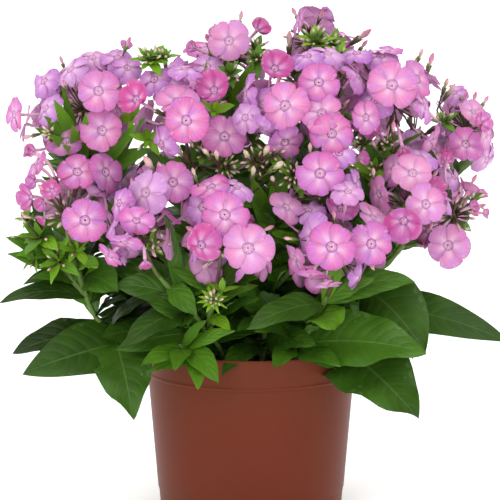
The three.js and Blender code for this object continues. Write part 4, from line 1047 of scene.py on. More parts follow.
# Each try swings further round and reaches less far, until one is clear of all the rest.
SIDE_LEAF_ROOM = 2
side_leaves = []
for stem, runs in enumerate(RUNS):
    for run, points in enumerate(runs):
        height, end = max(SIDE_LEAVES["first"], on_line(points, 0)[2] + 3), on_line(points, 1)[2]
        turn = 61 * stem + 130 * run
        while height < end - 2:
            base = at_height(points, height)
            share = min(1.0, (height - 100) / 160)
            for i in range(SIDE_LEAVES["around"]):
                for attempt in range(SIDE_LEAVES["tries"]):
                    reach = SIDE_LEAVES["low"] + (SIDE_LEAVES["high"] - SIDE_LEAVES["low"]) * share
                    reach *= (0.75 + 0.5 * next(lot)) * (1 - 0.07 * attempt)
                    out = facing(turn + 120 * i + 50 * (next(lot) - 0.5) * attempt, 0)
                    climb = -0.1 + 0.75 * next(lot) + 0.25 * share
                    tip = base + out * reach * 0.86 + UP * reach * climb
                    middle = base + tip
                    middle[2] = 0
                    leaf = {"stem": stem, "base": base, "tip": tip, "arch": reach * 0.16,
                            "width": reach * (0.28 + 0.1 * next(lot)),
                            "normal": 0.8 * UP + 0.6 * unit(middle)}
                    covers = tip[1] < BROAD_DEPTH and within(BROAD_LEAVES, tip)
                    if not leans_out(tip, 6) and not covers and is_clear(leaf, SIDE_LEAVES["room"]):
                        leaf["side"] = True
                        side_leaves.append(leaf)
                        for place in leaf_points(leaf):
                            take(place, SIDE_LEAF_ROOM)
                        break
            turn += 75
            height += SIDE_LEAVES["step"]
leaves += side_leaves

for number, head in enumerate(HEADS):
    for i in range(LATER["tries"]):
        out = spiral(i, LATER["tries"], LATER["spread"], 0.4, 3.1 * number)
        if head["florets"] and out[1] < -0.35:
            continue
        share = LATER["near"] + (LATER["far"] - LATER["near"]) * next(lot)
        centre = head["knot"] + out * head["reach"] * share
        sort, size, spin = next(lot), next(lot), next(lot)
        if crowded(number, centre, florets, LATER) or within(AIRY, centre):
            continue
        kind = next(kind for kind, share in LATER["kinds"].items() if sort < share)
        florets.append({"head": number, "centre": centre, "facing": unit(out + 0.2 * UP),
                        "width": 22 + 5 * size, "kind": kind, "spin": 360 * spin})

# ---- Flower heads: petals ----
# Five overlapping lobes of thin soft tissue round a narrow throat, each lobe a little twisted so that one
# edge lies over its neighbour: pale in the middle, deeper pink to the edge, with a violet ring and a
# dark eye. Young florets are deep magenta cups, old ones fade to lilac and bend back; the lilac is
# also painted shade on florets that face away or up.

LOBE_SPREAD = 44            # degrees to each side of a lobe's middle
LOBE_COLUMNS = 8
LOBE_ROWS = (0.0, 0.14, 0.38, 0.7, 1.0)
THROAT_RADIUS = 0.055       # as a share of the floret's radius, as the other petal sizes are
PETAL_SKIN = 0.007


def lobe_edge(turn, notch):
    """How far out the lobe's rim is at this share of its spread."""
    dome = 0.7 + 0.34 * max(0.0, 1 - abs(turn) ** 3.2) ** 0.5
    return dome * (1 - notch * math.exp(-((turn / 0.16) ** 2)))


def lobe_height(out, turn, cup, roll, crinkle, phase):
    throat = -0.12 * max(0.0, (0.15 - out) / 0.1) ** 1.5
    overlap = 0.018 * turn * min(1.0, out / 0.4)
    wave = crinkle * math.sin(2.6 * turn + phase) * out**2
    ripple = 0.4 * crinkle * math.sin(7.0 * turn + 2 * phase) * out**3
    return throat + overlap + wave + ripple + cup * out**1.6 - roll * max(0.0, out - 0.55) ** 2


def lens(name, top_of, columns, rows):
    """A thin closed blade of two skins that meet at the rim; top_of gives a place, its skin and mark."""
    places, marks, faces, numbers = [], [], [], {}
    for side in (1, -1):
        for i in range(rows):
            for j in range(columns):
                place, skin, mark = top_of(i / (rows - 1), 2 * j / (columns - 1) - 1)
                rim = i in (0, rows - 1) or j in (0, columns - 1)
                if rim and side < 0:
                    numbers[side, i, j] = numbers[1, i, j]
                    continue
                numbers[side, i, j] = len(places)
                places.append(place + side * skin * (0 if rim else 1))
                marks.append((mark[0], mark[1], 1.0 if side < 0 else 0.0))
        for i in range(rows - 1):
            for j in range(columns - 1):
                ring = [numbers[side, i, j], numbers[side, i + 1, j], numbers[side, i + 1, j + 1],
                        numbers[side, i, j + 1]]
                faces.append(ring if side > 0 else ring[::-1])
    return places, marks, faces


def marked_mesh(name, places, marks, faces, field):
    """A smooth mesh that carries one vector at each point for its material to read."""
    mesh = bpy.data.meshes.new(name)
    mesh.from_pydata([tuple(place) for place in places], [], faces)
    layer = mesh.attributes.new(field, "FLOAT_VECTOR", "POINT")
    layer.data.foreach_set("vector", [c for mark in marks for c in mark])
    mesh.shade_smooth()
    mesh.set_sharp_from_angle(angle=math.radians(70))
    return mesh


def lobe_mesh(name, cup, roll, crinkle, phase, notch):
    def place(along, turn):
        row = LOBE_ROWS[round(along * (len(LOBE_ROWS) - 1))]
        out = THROAT_RADIUS + (lobe_edge(turn, notch) - THROAT_RADIUS) * row
        angle = math.radians(LOBE_SPREAD * turn)
        height = lobe_height(out, turn, cup, roll, crinkle, phase)
        skin = np.array((0, 0, PETAL_SKIN * min(1.0, 3 * out)))
        return np.array((out * math.cos(angle), out * math.sin(angle), height)), skin, (out, turn)

    return marked_mesh(name, *lens(name, place, LOBE_COLUMNS + 1, len(LOBE_ROWS)), "petal_place")


def eye_mesh(name):
    """The mouth of the tube: a small sunken dome with the stigma's tip in it."""
    sides = 8
    places = [np.array((0, 0, -0.045))]
    marks = [(0.0, 0.0, 0.0)]
    for radius, height in ((0.045, -0.07), (0.085, -0.075), (0.05, -0.12)):
        for i in range(sides):
            angle = 2 * math.pi * i / sides
            places.append(np.array((radius * math.cos(angle), radius * math.sin(angle), height)))
            marks.append((radius, 0.0, 0.0))
    places.append(np.array((0, 0, -0.13)))
    marks.append((0.0, 0.0, 1.0))
    faces = []
    for i in range(sides):
        j = (i + 1) % sides
        faces.append((0, 1 + i, 1 + j))
        for ring in (1, 1 + sides):
            faces.append((ring + i, ring + sides + i, ring + sides + j, ring + j))
        faces.append((1 + 2 * sides + i, 1 + 3 * sides, 1 + 2 * sides + j))
    return marked_mesh(name, places, marks, faces, "petal_place")


# name, cup, roll, crinkle, phase of the wave, notch in the tip
LOBES = (
    ("lobe_0_open_smooth", 0.02, 0.22, 0.035, 0.3, 0.02),
    ("lobe_1_open_waved", 0.06, 0.10, 0.075, 1.7, 0.06),
    ("lobe_2_open_flat", -0.02, 0.34, 0.055, 3.9, 0.0),
    ("lobe_3_young_cup", 0.42, -0.20, 0.030, 0.9, 0.03),
    ("lobe_4_young_waved", 0.52, 0.15, 0.070, 2.6, 0.0),
    ("lobe_5_old_bent", -0.10, 0.75, 0.080, 0.5, 0.06),
    ("lobe_6_old_curled", -0.02, 0.35, 0.120, 4.4, 0.02),
)
YOUNG, OLD, EYE = 3, 5, len(LOBES)
petal_shapes = bpy.data.collections.new("petal_shapes")
for lobe in LOBES:
    petal_shapes.objects.link(bpy.data.objects.new(lobe[0], lobe_mesh(*lobe)))
petal_shapes.objects.link(bpy.data.objects.new("lobe_7_eye", eye_mesh("lobe_7_eye")))

# Petal tissue: matt and velvety, with a little light passing through it.
petal_tissue, tree = blank_material("petal_tissue")
fields = [add(tree, "ShaderNodeAttribute", attribute_name=name) for name in ("petal_place", "tint")]
fields = [field.outputs["Vector"] for field in fields]
spot, tint = [add(tree, "ShaderNodeSeparateXYZ", {0: field}).outputs for field in fields]
where = add(tree, "ShaderNodeTexCoord").outputs["Object"]
mottle = add(tree, "ShaderNodeTexNoise", {"Vector": where, "Scale": 1 / (6 * MM), "Detail": 2.0})
wander = add(tree, "ShaderNodeMath", {0: mottle, 1: 0.16, 2: -0.08}, operation="MULTIPLY_ADD")
out = add(tree, "ShaderNodeMath", {0: spot["X"], 1: wander}, operation="ADD")
open_pink = add(
    tree, "ShaderNodeValToRGB", {0: out},
    stops=[(0.2, "#E6A4C8"), (0.42, "#E18AB8"), (0.75, "#D975AE"), (0.92, "#D05EA6"), (1.0, "#BC3E92")],
)
young_pink = add(
    tree, "ShaderNodeValToRGB", {0: out},
    stops=[(0.2, "#B472BE"), (0.4, "#CE60A6"), (0.7, "#CC4590"), (1.0, "#BF3B88")],
)
# Lilac of older florets, which is also painted shade on florets that face away or up.
lilac_of_age_and_shade = add(
    tree, "ShaderNodeValToRGB", {0: out},
    stops=[(0.2, "#DEA8DA"), (0.45, "#CC90D2"), (0.75, "#C07ECB"), (1.0, "#AE68BC")],
)
BLOTCH_MM = 7
blotch = add(tree, "ShaderNodeTexNoise", {"Vector": where, "Scale": 1 / (BLOTCH_MM * MM), "Detail": 3.0})
beside = add(tree, "ShaderNodeMath", {0: spot["Y"]}, operation="ABSOLUTE")
clouding, middle, near, painted_overlap_shade = [
    add(
        tree, "ShaderNodeMapRange",
        {"Value": value, "From Min": start, "From Max": end, "To Min": low, "To Max": high},
        interpolation_type="SMOOTHSTEP",
    )
    for value, start, end, low, high in (
        (blotch, 0.47, 0.66, 0.0, 0.7),     # open petals are clouded with lilac
        (beside, 0.1, 0.62, 1.0, 0.0),      # a pale wedge runs out along the middle of each lobe
        (out, 0.24, 0.8, 0.6, 0.0),         # and fades from the ring outwards
        (beside, 0.68, 1.0, 0.0, 0.42),     # painted shade deepens the edge where one lobe lies over the next
    )
]
wedge = add(tree, "ShaderNodeMath", {0: middle, 1: near}, operation="MULTIPLY")
face = open_pink
# The last of these mixes is painted shade: a deeper pink along the lobes' edges where they overlap.
for share, colour in (
    (clouding, "#BC78CC"), (tint["X"], young_pink), (tint["Y"], lilac_of_age_and_shade), (wedge, "#F1C6DE"),
    (painted_overlap_shade, "#B8549E"),
):
    face = add(tree, "ShaderNodeMix", {0: share, 6: face, 7: colour}, data_type="RGBA")
# Fine veins fan out along the lobe.
fan = add(
    tree, "ShaderNodeMath", {0: add(tree, "ShaderNodeMath", {0: spot["Y"], 1: 46.0}, operation="MULTIPLY")},
    operation="SINE",
)
veins = add(
    tree, "ShaderNodeMapRange",
    {"Value": fan, "From Min": -1.0, "From Max": 1.0, "To Min": 0.87, "To Max": 1.04},
)
# Broader streaks run the same way and differ from floret to floret.
lanes = add(
    tree, "ShaderNodeMapping", {"Vector": fields[0], "Location": fields[1], "Scale": (0.8, 5.0, 0.0)},
)
streaks = add(tree, "ShaderNodeTexNoise", {"Vector": lanes, "Scale": 1.6, "Detail": 3.0})
streaks = add(
    tree, "ShaderNodeMapRange",
    {"Value": streaks, "From Min": 0.3, "From Max": 0.7, "To Min": 0.9, "To Max": 1.09},
)
veins = add(tree, "ShaderNodeMath", {0: veins, 1: streaks}, operation="MULTIPLY")
face = add(tree, "ShaderNodeVectorMath", {0: face, "Scale": veins}, operation="SCALE")
# The eye is a ragged ring about a paler throat.
ragged = add(tree, "ShaderNodeTexNoise", {"Vector": where, "Scale": 1 / (0.9 * MM), "Detail": 1.0})
ragged = add(tree, "ShaderNodeMath", {0: ragged, 1: 0.12, 2: -0.06}, operation="MULTIPLY_ADD")
ragged = add(tree, "ShaderNodeMath", {0: ragged, 1: spot["X"]}, operation="ADD")
ring = add(
    tree, "ShaderNodeValToRGB", {0: ragged}, stops=[(0.165, 0.0), (0.2, 0.9), (0.23, 0.85), (0.265, 0.0)],
)
inside = add(
    tree, "ShaderNodeValToRGB", {0: ragged},
    stops=[(0.02, "#4E1A48"), (0.045, "#A4568E"), (0.07, "#F6D6E2"), (0.12, "#E0A4CC"), (0.19, "#D48CC4")],
)
is_inside = add(
    tree, "ShaderNodeMapRange",
    {"Value": ragged, "From Min": 0.17, "From Max": 0.205, "To Min": 1.0, "To Max": 0.0},
)
# The underside is paler, partly its own colour and partly painted light standing in for light passing
# through the thin petal, and some florets are paler as a whole.
under = add(tree, "ShaderNodeMath", {0: spot["Z"], 1: 0.85}, operation="MULTIPLY")
for share, colour in (
    (ring, "#8F3C8C"), (is_inside, inside), (under, "#EAAADA"), (tint["Z"], "#ECC0DC"),
):
    face = add(tree, "ShaderNodeMix", {0: share, 6: face, 7: colour}, data_type="RGBA")
CRINKLE_MM = 3.5
crinkle = add(tree, "ShaderNodeTexNoise", {"Vector": where, "Scale": 1 / (CRINKLE_MM * MM), "Detail": 2.0})
puckered = add(tree, "ShaderNodeBump", {"Strength": 0.4, "Distance": 0.001, "Height": crinkle})
soft = add(
    tree, "ShaderNodeBump", {"Strength": 0.25, "Distance": 0.0002, "Height": fan, "Normal": puckered},
)
surface = add(
    tree, "ShaderNodeBsdfPrincipled",
    {"Base Color": face, "Roughness": 0.66, "Specular IOR Level": 0.15, "Normal": soft,
     "Subsurface Weight": 0.25, "Subsurface Radius": (1.0, 0.5, 0.8), "Subsurface Scale": 0.002},
)
add(tree, "ShaderNodeOutputMaterial", {"Surface": surface})

# ---- Flower heads: tubes, calyces, buds and twigs ----
# Each floret's slender tube stands in a ribbed calyx with five sharp teeth, flushed purple-brown, on a
# thin twig from the knot. Unopened buds are rolled to a point, cream below and pink at the tip.

TEETH_FROM = 0.7            # share of a calyx's height from which its rim is cut into teeth


def turned_mesh(name, profile, sides, twist=0.0, teeth=0.0):
    """A closed mesh turned about +Z from (height, radius) pairs, with its height as a mark."""
    places, marks, faces = [], [], []
    for ring, (height, radius) in enumerate(profile):
        for i in range(sides):
            angle = 2 * math.pi * i / sides + twist * height
            up = height + (teeth * (1 if i % 2 else -1) if height >= TEETH_FROM else 0)
            places.append(np.array((radius * math.cos(angle), radius * math.sin(angle), up)))
            marks.append((max(0.0, min(1.0, height)), i / sides, 0.0))
    for ring in range(len(profile) - 1):
        for i in range(sides):
            j = (i + 1) % sides
            a, b = ring * sides, (ring + 1) * sides
            faces.append((a + i, a + j, b + j, b + i))
    faces.append(tuple(range(sides))[::-1])
    faces.append(tuple(range((len(profile) - 1) * sides, len(profile) * sides)))
    return marked_mesh(name, places, marks, faces, "bud_place")


bud_shape = bpy.data.objects.new("rolled_bud", turned_mesh(
    "rolled_bud",
    [(0, 0.055), (0.18, 0.075), (0.42, 0.125), (0.6, 0.165), (0.76, 0.14), (0.9, 0.075), (1.0, 0.012)],
    6, twist=2.2))
calyx_shape = bpy.data.objects.new("toothed_calyx", turned_mesh(
    "toothed_calyx",
    [(0, 0.07), (0.12, 0.15), (0.5, 0.19), (0.78, 0.235), (0.8, 0.19), (0.5, 0.13)], 10, teeth=0.16))

bud_skin, tree = blank_material("bud_skin")
fields = [add(tree, "ShaderNodeAttribute", attribute_name=name) for name in ("bud_place", "tint")]
fields = [field.outputs["Vector"] for field in fields]
spot, tint = [add(tree, "ShaderNodeSeparateXYZ", {0: field}).outputs for field in fields]
ripe = add(
    tree, "ShaderNodeValToRGB", {0: spot["X"]},
    stops=[(0.0, "#D8B9B4"), (0.45, "#E7B9C4"), (0.7, "#DE7FA8"), (1.0, "#B8548A")],
)
unripe = add(
    tree, "ShaderNodeValToRGB", {0: spot["X"]},
    stops=[(0.0, "#8FA064"), (0.4, "#C9CE9B"), (0.75, "#E9DCC0"), (1.0, "#D9A6A6")],
)
skin = add(tree, "ShaderNodeMix", {0: tint["X"], 6: ripe, 7: unripe}, data_type="RGBA")
rolled = add(
    tree, "ShaderNodeTexWave", {"Vector": fields[0], "Scale": 0.8, "Distortion": 1.0}, wave_type="BANDS",
    bands_direction="Y",
)
shaded = add(
    tree, "ShaderNodeMix", {0: 0.18, 6: skin, 7: rolled.outputs["Color"]}, data_type="RGBA",
    blend_type="MULTIPLY",
)
surface = add(
    tree, "ShaderNodeBsdfPrincipled",
    {"Base Color": shaded, "Roughness": 0.5, "Subsurface Weight": 0.2, "Subsurface Scale": 0.001},
)
add(tree, "ShaderNodeOutputMaterial", {"Surface": surface})

calyx_skin, tree = blank_material("calyx_skin")
fields = [add(tree, "ShaderNodeAttribute", attribute_name=name) for name in ("bud_place", "tint")]
fields = [field.outputs["Vector"] for field in fields]
spot, tint = [add(tree, "ShaderNodeSeparateXYZ", {0: field}).outputs for field in fields]
green = add(
    tree, "ShaderNodeValToRGB", {0: spot["X"]},
    stops=[(0.0, "#3F5A22"), (0.5, "#5F7F33"), (1.0, "#8FA552")],
)
purple = add(
    tree, "ShaderNodeValToRGB", {0: spot["X"]},
    stops=[(0.0, "#3A2A1E"), (0.5, "#4E2A30"), (1.0, "#6E3A44")],
)
skin = add(tree, "ShaderNodeMix", {0: tint["Y"], 6: green, 7: purple}, data_type="RGBA")
surface = add(tree, "ShaderNodeBsdfPrincipled", {"Base Color": skin, "Roughness": 0.5})
add(tree, "ShaderNodeOutputMaterial", {"Surface": surface})

# Twigs are green flushed with purple-brown, tubes pale pink with a little light passing through them.
twig_skin, twig_nodes = blank_material("twig_skin")
tube_tissue, tube_nodes = blank_material("tube_tissue")
for tree, grains, detail, stops, look in (
    (twig_nodes, 60.0, 2.0, [(0.35, "#55692E"), (0.5, "#5C4A30"), (0.65, "#56303A")], {}),
    (tube_nodes, 90.0, 1.0, [(0.35, "#EBC6D2"), (0.65, "#D890C4")],
     {"Subsurface Weight": 0.2, "Subsurface Scale": 0.001}),
):
    where = add(tree, "ShaderNodeTexCoord").outputs["Object"]
    flush = add(tree, "ShaderNodeTexNoise", {"Vector": where, "Scale": grains, "Detail": detail})
    skin = add(tree, "ShaderNodeValToRGB", {0: flush}, stops=stops)
    surface = add(tree, "ShaderNodeBsdfPrincipled", {"Base Color": skin, "Roughness": 0.55, **look})
    add(tree, "ShaderNodeOutputMaterial", {"Surface": surface})

# One head: petals, calyces and buds stand on their points, tubes and twigs follow their lines.
head_tree, given = geometry_tree("flower_head", {
    "Petal points": ["Geometry"], "Petal shapes": ["Collection"], "Calyx points": ["Object"],
    "Calyx shape": ["Object"], "Bud points": ["Object"], "Bud shape": ["Object"], "Twigs": ["Object"],
    "Tubes": ["Object"], "Sides": ["Int"], "Petal tissue": ["Material"], "Calyx skin": ["Material"],
    "Bud skin": ["Material"], "Twig skin": ["Material"], "Tube tissue": ["Material"],
})
POINT_FIELDS = {"facing": "FLOAT_VECTOR", "outward": "FLOAT_VECTOR", "size": "FLOAT", "shape": "INT"}
named = {
    name: add(head_tree, "GeometryNodeInputNamedAttribute", {"Name": name}, data_type=kind)
    for name, kind in POINT_FIELDS.items()
}
stance = add(
    head_tree, "FunctionNodeAxesToRotation", {0: named["facing"], 1: named["outward"]}, primary_axis="Z",
    secondary_axis="X",
)
shapes = add(
    head_tree, "GeometryNodeCollectionInfo",
    {"Collection": given["Petal shapes"], "Separate Children": True, "Reset Children": True},
)
parts = []
for points, shape, material in (
    (given["Petal points"], shapes, "Petal tissue"), ("Calyx points", "Calyx shape", "Calyx skin"),
    ("Bud points", "Bud shape", "Bud skin"),
):
    pick = shape is shapes
    if not pick:
        points = add(head_tree, "GeometryNodeObjectInfo", {"Object": given[points]}).outputs["Geometry"]
        shape = add(head_tree, "GeometryNodeObjectInfo", {"Object": given[shape]}).outputs["Geometry"]
    placed = add(
        head_tree, "GeometryNodeInstanceOnPoints",
        {"Points": points, "Instance": shape, "Pick Instance": pick, "Instance Index": named["shape"],
         "Rotation": stance, "Scale": named["size"]},
    )
    solid = add(head_tree, "GeometryNodeRealizeInstances", {0: placed})
    parts.append(add(head_tree, "GeometryNodeSetMaterial", {0: solid, "Material": given[material]}))


def rods_along(tree, given, lines, skin):
    """Round rods along the lines of one named input, as thick as the lines say, in the skin of another."""
    line = add(tree, "GeometryNodeObjectInfo", {"Object": given[lines]}).outputs["Geometry"]
    circle = add(tree, "GeometryNodeCurvePrimitiveCircle", {"Resolution": given["Sides"], "Radius": 1.0})
    rod = add(
        tree, "GeometryNodeCurveToMesh",
        {"Curve": line, "Profile Curve": circle, "Scale": add(tree, "GeometryNodeInputRadius"),
         "Fill Caps": True},
    )
    smooth = add(tree, "GeometryNodeSetShadeSmooth", {0: rod})
    return add(tree, "GeometryNodeSetMaterial", {0: smooth, "Material": given[skin]})


parts.append(rods_along(head_tree, given, "Twigs", "Twig skin"))
parts.append(rods_along(head_tree, given, "Tubes", "Tube tissue"))
together = add(head_tree, "GeometryNodeJoinGeometry", {0: parts[::-1]})
add(head_tree, "NodeGroupOutput", {0: together})


def point_mesh(name, rows):
    """Loose points, each with the way it faces, its outward side, size, shape and tint."""
    mesh = bpy.data.meshes.new(name)
    mesh.from_pydata([tuple(row["place"] * MM) for row in rows], [], [])
    for field, kind in {**POINT_FIELDS, "tint": "FLOAT_VECTOR"}.items():
        layer = mesh.attributes.new(field, kind, "POINT")
        values = np.array([row.get(field, 0) for row in rows], dtype=int if kind == "INT" else float)
        layer.data.foreach_set("vector" if kind == "FLOAT_VECTOR" else "value", values.ravel())
    return mesh


CUP_LEAN = 0.45 * np.array((0.0, 1.0, -0.2))    # how far cups in front lean to the light
KIND_SPREAD = {"f": 0.97, "d": 0.92, "l": 0.97, "h": 0.8}
KIND_PITCH = {"f": 1, "d": 8, "l": -7, "h": 22}
KIND_LOBES = {"f": (0, 3), "d": (YOUNG, 2), "l": (OLD, 2), "h": (YOUNG, 2)}
AROUND, PITCH, ROLL = 11, 9, 10         # degrees by which the lobes of a floret differ
OLD_PITCH, OLD_ROLL = 16, 20


def petal_rows(floret):
    """Five lobes and an eye for one floret, each lobe a little different."""
    if floret["kind"] == "d" and floret["facing"][1] < 0:
        floret = {**floret, "facing": unit(floret["facing"] - CUP_LEAN)}
    turn = upright_turn(floret["facing"])
    radius = floret["width"] / 2 * KIND_SPREAD[floret["kind"]]
    first, several = KIND_LOBES[floret["kind"]]
    young, old = floret["kind"] in "dh", floret["kind"] == "l"
    tint = (    # how young, how lilac (age and painted shade) and how pale it looks
        (0.75 + 0.25 * next(lot)) if young else 0.22 * next(lot),
        (0.6 + 0.4 * next(lot)) if old else 0.3 * next(lot) ** 2,
        0.3 * next(lot) ** 2 * (0 if young else 1),
    )
    for petal in range(5):
        around = math.radians(72 * petal + floret["spin"] + AROUND * (next(lot) - 0.5))
        pitch = math.radians(KIND_PITCH[floret["kind"]] + (OLD_PITCH if old else PITCH) * (next(lot) - 0.5))
        roll = math.radians((OLD_ROLL if old else ROLL) * (next(lot) - 0.5))
        out = turned(np.array((math.cos(around), math.sin(around), 0)), turn)
        outward = out * math.cos(pitch) + floret["facing"] * math.sin(pitch)
        normal = floret["facing"] * math.cos(pitch) - out * math.sin(pitch)
        normal = normal * math.cos(roll) + np.cross(outward, normal) * math.sin(roll)
        own = (tint[0], min(1.0, tint[1] + 0.45 * next(lot) ** 3), tint[2])
        yield {"place": floret["centre"], "facing": normal, "outward": outward,
               "size": radius * (0.9 + 0.17 * next(lot)) * MM, "shape": first + int(several * next(lot)),
               "tint": own}
    yield {"place": floret["centre"], "facing": floret["facing"],
           "outward": turned(np.array((1.0, 0, 0)), turn), "size": radius * MM, "shape": EYE, "tint": tint}


def sideways(way):
    """Any direction square to this one."""
    return unit(np.cross(way, (0.31, 0.22, 0.93)))


TUBE_START = 0.45           # where the tube leaves its calyx, as a share of the way from the knot
TUBE_RADIUS = 0.62          # mm at the calyx, and twice that at the mouth
TWIG_RADIUS = 0.6


def floret_lines(floret, knot):
    """The twig and the tube behind one floret, and its calyx."""
    length = np.linalg.norm(floret["centre"] - knot)
    radius = floret["width"] / 2 * KIND_SPREAD[floret["kind"]]
    back = floret["centre"] - floret["facing"] * 0.09 * radius
    bend = [knot, knot + (back - knot) * 0.35, back - floret["facing"] * 0.42 * length, back]
    twig = [(bezier(bend, TUBE_START * i / 4), TWIG_RADIUS) for i in range(5)]
    shares = [TUBE_START + (1 - TUBE_START) * i / 6 for i in range(7)]
    tube = [(bezier(bend, share), TUBE_RADIUS * (1 + i / 6)) for i, share in enumerate(shares)]
    way = unit(bezier(bend, TUBE_START + 0.05) - bezier(bend, TUBE_START - 0.05))
    calyx = {"place": bezier(bend, TUBE_START - 0.06), "facing": way, "outward": sideways(way),
             "size": min(8.0, 0.28 * length) * MM, "tint": (0, 0.25 + 0.75 * next(lot), 0)}
    return twig, tube, calyx


def bud_lines(tip, knot, size, unripe, droop=0.0):
    """A bud of this length, its calyx and the twig it stands on."""
    way = unit(tip - knot)
    foot = tip - way * size
    low = foot - way * 0.42 * size
    bend = [knot, (knot + low) / 2 - UP * droop, low]
    twig = [(bezier(bend, i / 4), 0.55) for i in range(5)]
    stance = {"facing": way, "outward": sideways(way)}
    bud = {"place": foot, "size": size * MM, "tint": (unripe, 0, 0), **stance}
    calyx = {"place": low, "size": 0.72 * size * MM, "tint": (0, next(lot), 0), **stance}
    return twig, bud, calyx


def stalklet(foot, end, radius, way=None):
    """A bent twig from one place to another, arriving along this way."""
    reach = np.linalg.norm(end - foot)
    way = unit(end - foot + 0.4 * reach * UP) if way is None else way
    bend = [foot, foot + (end - foot) * 0.35 + UP * 0.05 * reach, end - way * 0.35 * reach, end]
    return [(bezier(bend, i / 8), radius) for i in range(9)]


# Buds and calyces that fill the inside of a head, behind its florets.
INNER = {"count": 24, "near": 11, "far": 22, "bud": (5.0, 8.0)}

for number, head in enumerate(HEADS):
    knot, points = head["knot"], RUNS[head["stem"]][head["run"]]
    end, way = on_line(points, 1), heading(points, 1)
    start = end + 0.3 * way
    neck = [start, start + way * np.linalg.norm(knot - end) / 3, knot]
    twigs = [[(bezier(neck, i / 6), STEM_AT_HEAD - 0.3 * i / 6) for i in range(7)]]
    tubes, petal_points, calyx_points, bud_points = [], [], [], []
    for floret in (f for f in florets if f["head"] == number):
        petal_points += list(petal_rows(floret))
        twig, tube, calyx = floret_lines(floret, knot)
        twigs.append(twig)
        tubes.append(tube)
        calyx_points.append(calyx)
    for bud in (b for b in buds if b["head"] == number):
        twig, rolled, calyx = bud_lines(bud["tip"], knot, 9, 0.25 * next(lot))
        twigs.append(twig)
        bud_points.append(rolled)
        calyx_points.append(calyx)
    for i in range(INNER["count"]):
        out = spiral(i, INNER["count"], 1.75, 0.5, number * 1.3)
        reach = INNER["near"] + (INNER["far"] - INNER["near"]) * next(lot)
        size = INNER["bud"][0] + (INNER["bud"][1] - INNER["bud"][0]) * next(lot)
        twig, rolled, calyx = bud_lines(knot + out * reach, knot, size, 0.4 + 0.6 * next(lot), 0.8)
        twigs.append(twig)
        calyx_points.append(calyx)
        if next(lot) < 0.7:
            bud_points.append(rolled)
    for tip in (t for t in rosette_calyces if t["head"] == number):
        size = 4.5 + 2 * next(lot)
        twig, rolled, calyx = bud_lines(tip["tip"], tip["knot"], size, 0.6 + 0.4 * next(lot), 0.3)
        calyx["size"], calyx["tint"] = 0.85 * size * MM, (0, 0.15 if tip["green"] else next(lot), 0)
        twigs.append(twig)
        calyx_points.append(calyx)
        if next(lot) < 0.75:
            bud_points.append(rolled)
    for other, *place in YOUNG_TIPS:
        if other == number:
            tip = seen(*place[:3])
            twigs.append(stalklet(joint_near(number, tip), tip, 0.9))
    for other, across, up, depth, size, turn, tilt, unripe in LATE_BUDS:
        if other != number:
            continue
        tip, way = seen(across, up, depth), facing(turn, tilt)
        twig, rolled, calyx = bud_lines(tip, tip - way * size * 2, size, unripe)
        joint = joint_near(number, twig[0][0])
        twigs.append(stalklet(joint, twig[0][0], TWIG_RADIUS, way) + twig[1:])
        bud_points.append(rolled)
        calyx_points.append(calyx)
    piece = piece_from(head["name"].replace("head", "florets"), point_mesh("petal_points", petal_points))
    grown(
        piece, head_tree, Petal_shapes=petal_shapes, Calyx_shape=calyx_shape, Bud_shape=bud_shape, Sides=6,
        Calyx_points=bpy.data.objects.new("calyx_points", point_mesh("calyx_points", calyx_points)),
        Bud_points=bpy.data.objects.new("bud_points", point_mesh("bud_points", bud_points)),
        Twigs=line_object("twigs", twigs), Tubes=line_object("tubes", tubes), Petal_tissue=petal_tissue,
        Calyx_skin=calyx_skin, Bud_skin=bud_skin, Twig_skin=twig_skin, Tube_tissue=tube_tissue,
    )
    for field in POINT_FIELDS:
        if field in piece.data.attributes:
            piece.data.attributes.remove(piece.data.attributes[field])
    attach(piece, "root")
    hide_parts(head["name"])

# ---- Leafy stems: blades ----
# Smooth lance-shaped blades of dark green tissue, folded a little along a pale midrib and quilted by
# the side veins that arch forward from it. Young ones are yellower, and undersides are greyer.

BLADE_SKIN = 0.2            # mm, half of the thickness
VEIN_GAP = 9                # mm between side veins


def half_width(leaf, share):
    """Half of the blade's width at this share of its length, never quite nothing."""
    least = 0.8 if share < 0.2 else 0.1
    return max(least, leaf["width"] / 2 * math.sin(math.pi * min(1.0, share) ** 0.85) ** 0.85)


def blade(leaf):
    """The places, marks and faces of one leaf, with its own waves, twist, fold and curled edges."""
    rib = midrib(leaf)
    length = np.linalg.norm(rib[2] - rib[0])
    waves, phase = 1.5 + 2 * next(lot), 6.28 * next(lot)
    wave = (0.03 + 0.04 * next(lot)) * leaf["width"]
    twist = math.radians(26 * (next(lot) - 0.5))
    fold, recurve = 0.14 + 0.16 * next(lot), 0.05 + 0.1 * next(lot)

    def place(share, turn):
        share -= 0.07 * math.sin(2 * math.pi * share)
        along = rib_heading(rib, share)
        side = unit(np.cross(leaf["normal"], along))
        up = np.cross(along, side)
        swing = twist * share
        sine, cosine = math.sin(swing), math.cos(swing)
        side, up = side * cosine + up * sine, up * cosine - side * sine
        half = half_width(leaf, share)
        height = fold * abs(turn) * half - recurve * turn**2 * half
        height += wave * turn**2 * math.sin(2 * math.pi * waves * share + phase + (1.3 if turn > 0 else 0))
        spot = bezier(rib, share) + side * turn * half + up * height
        return spot * MM, up * BLADE_SKIN * MM, (share, turn)

    columns = 5 if leaf["width"] < 12 else 7 if leaf["width"] < 20 else 9
    return lens("blade", place, columns, 7 + int(length / 6))


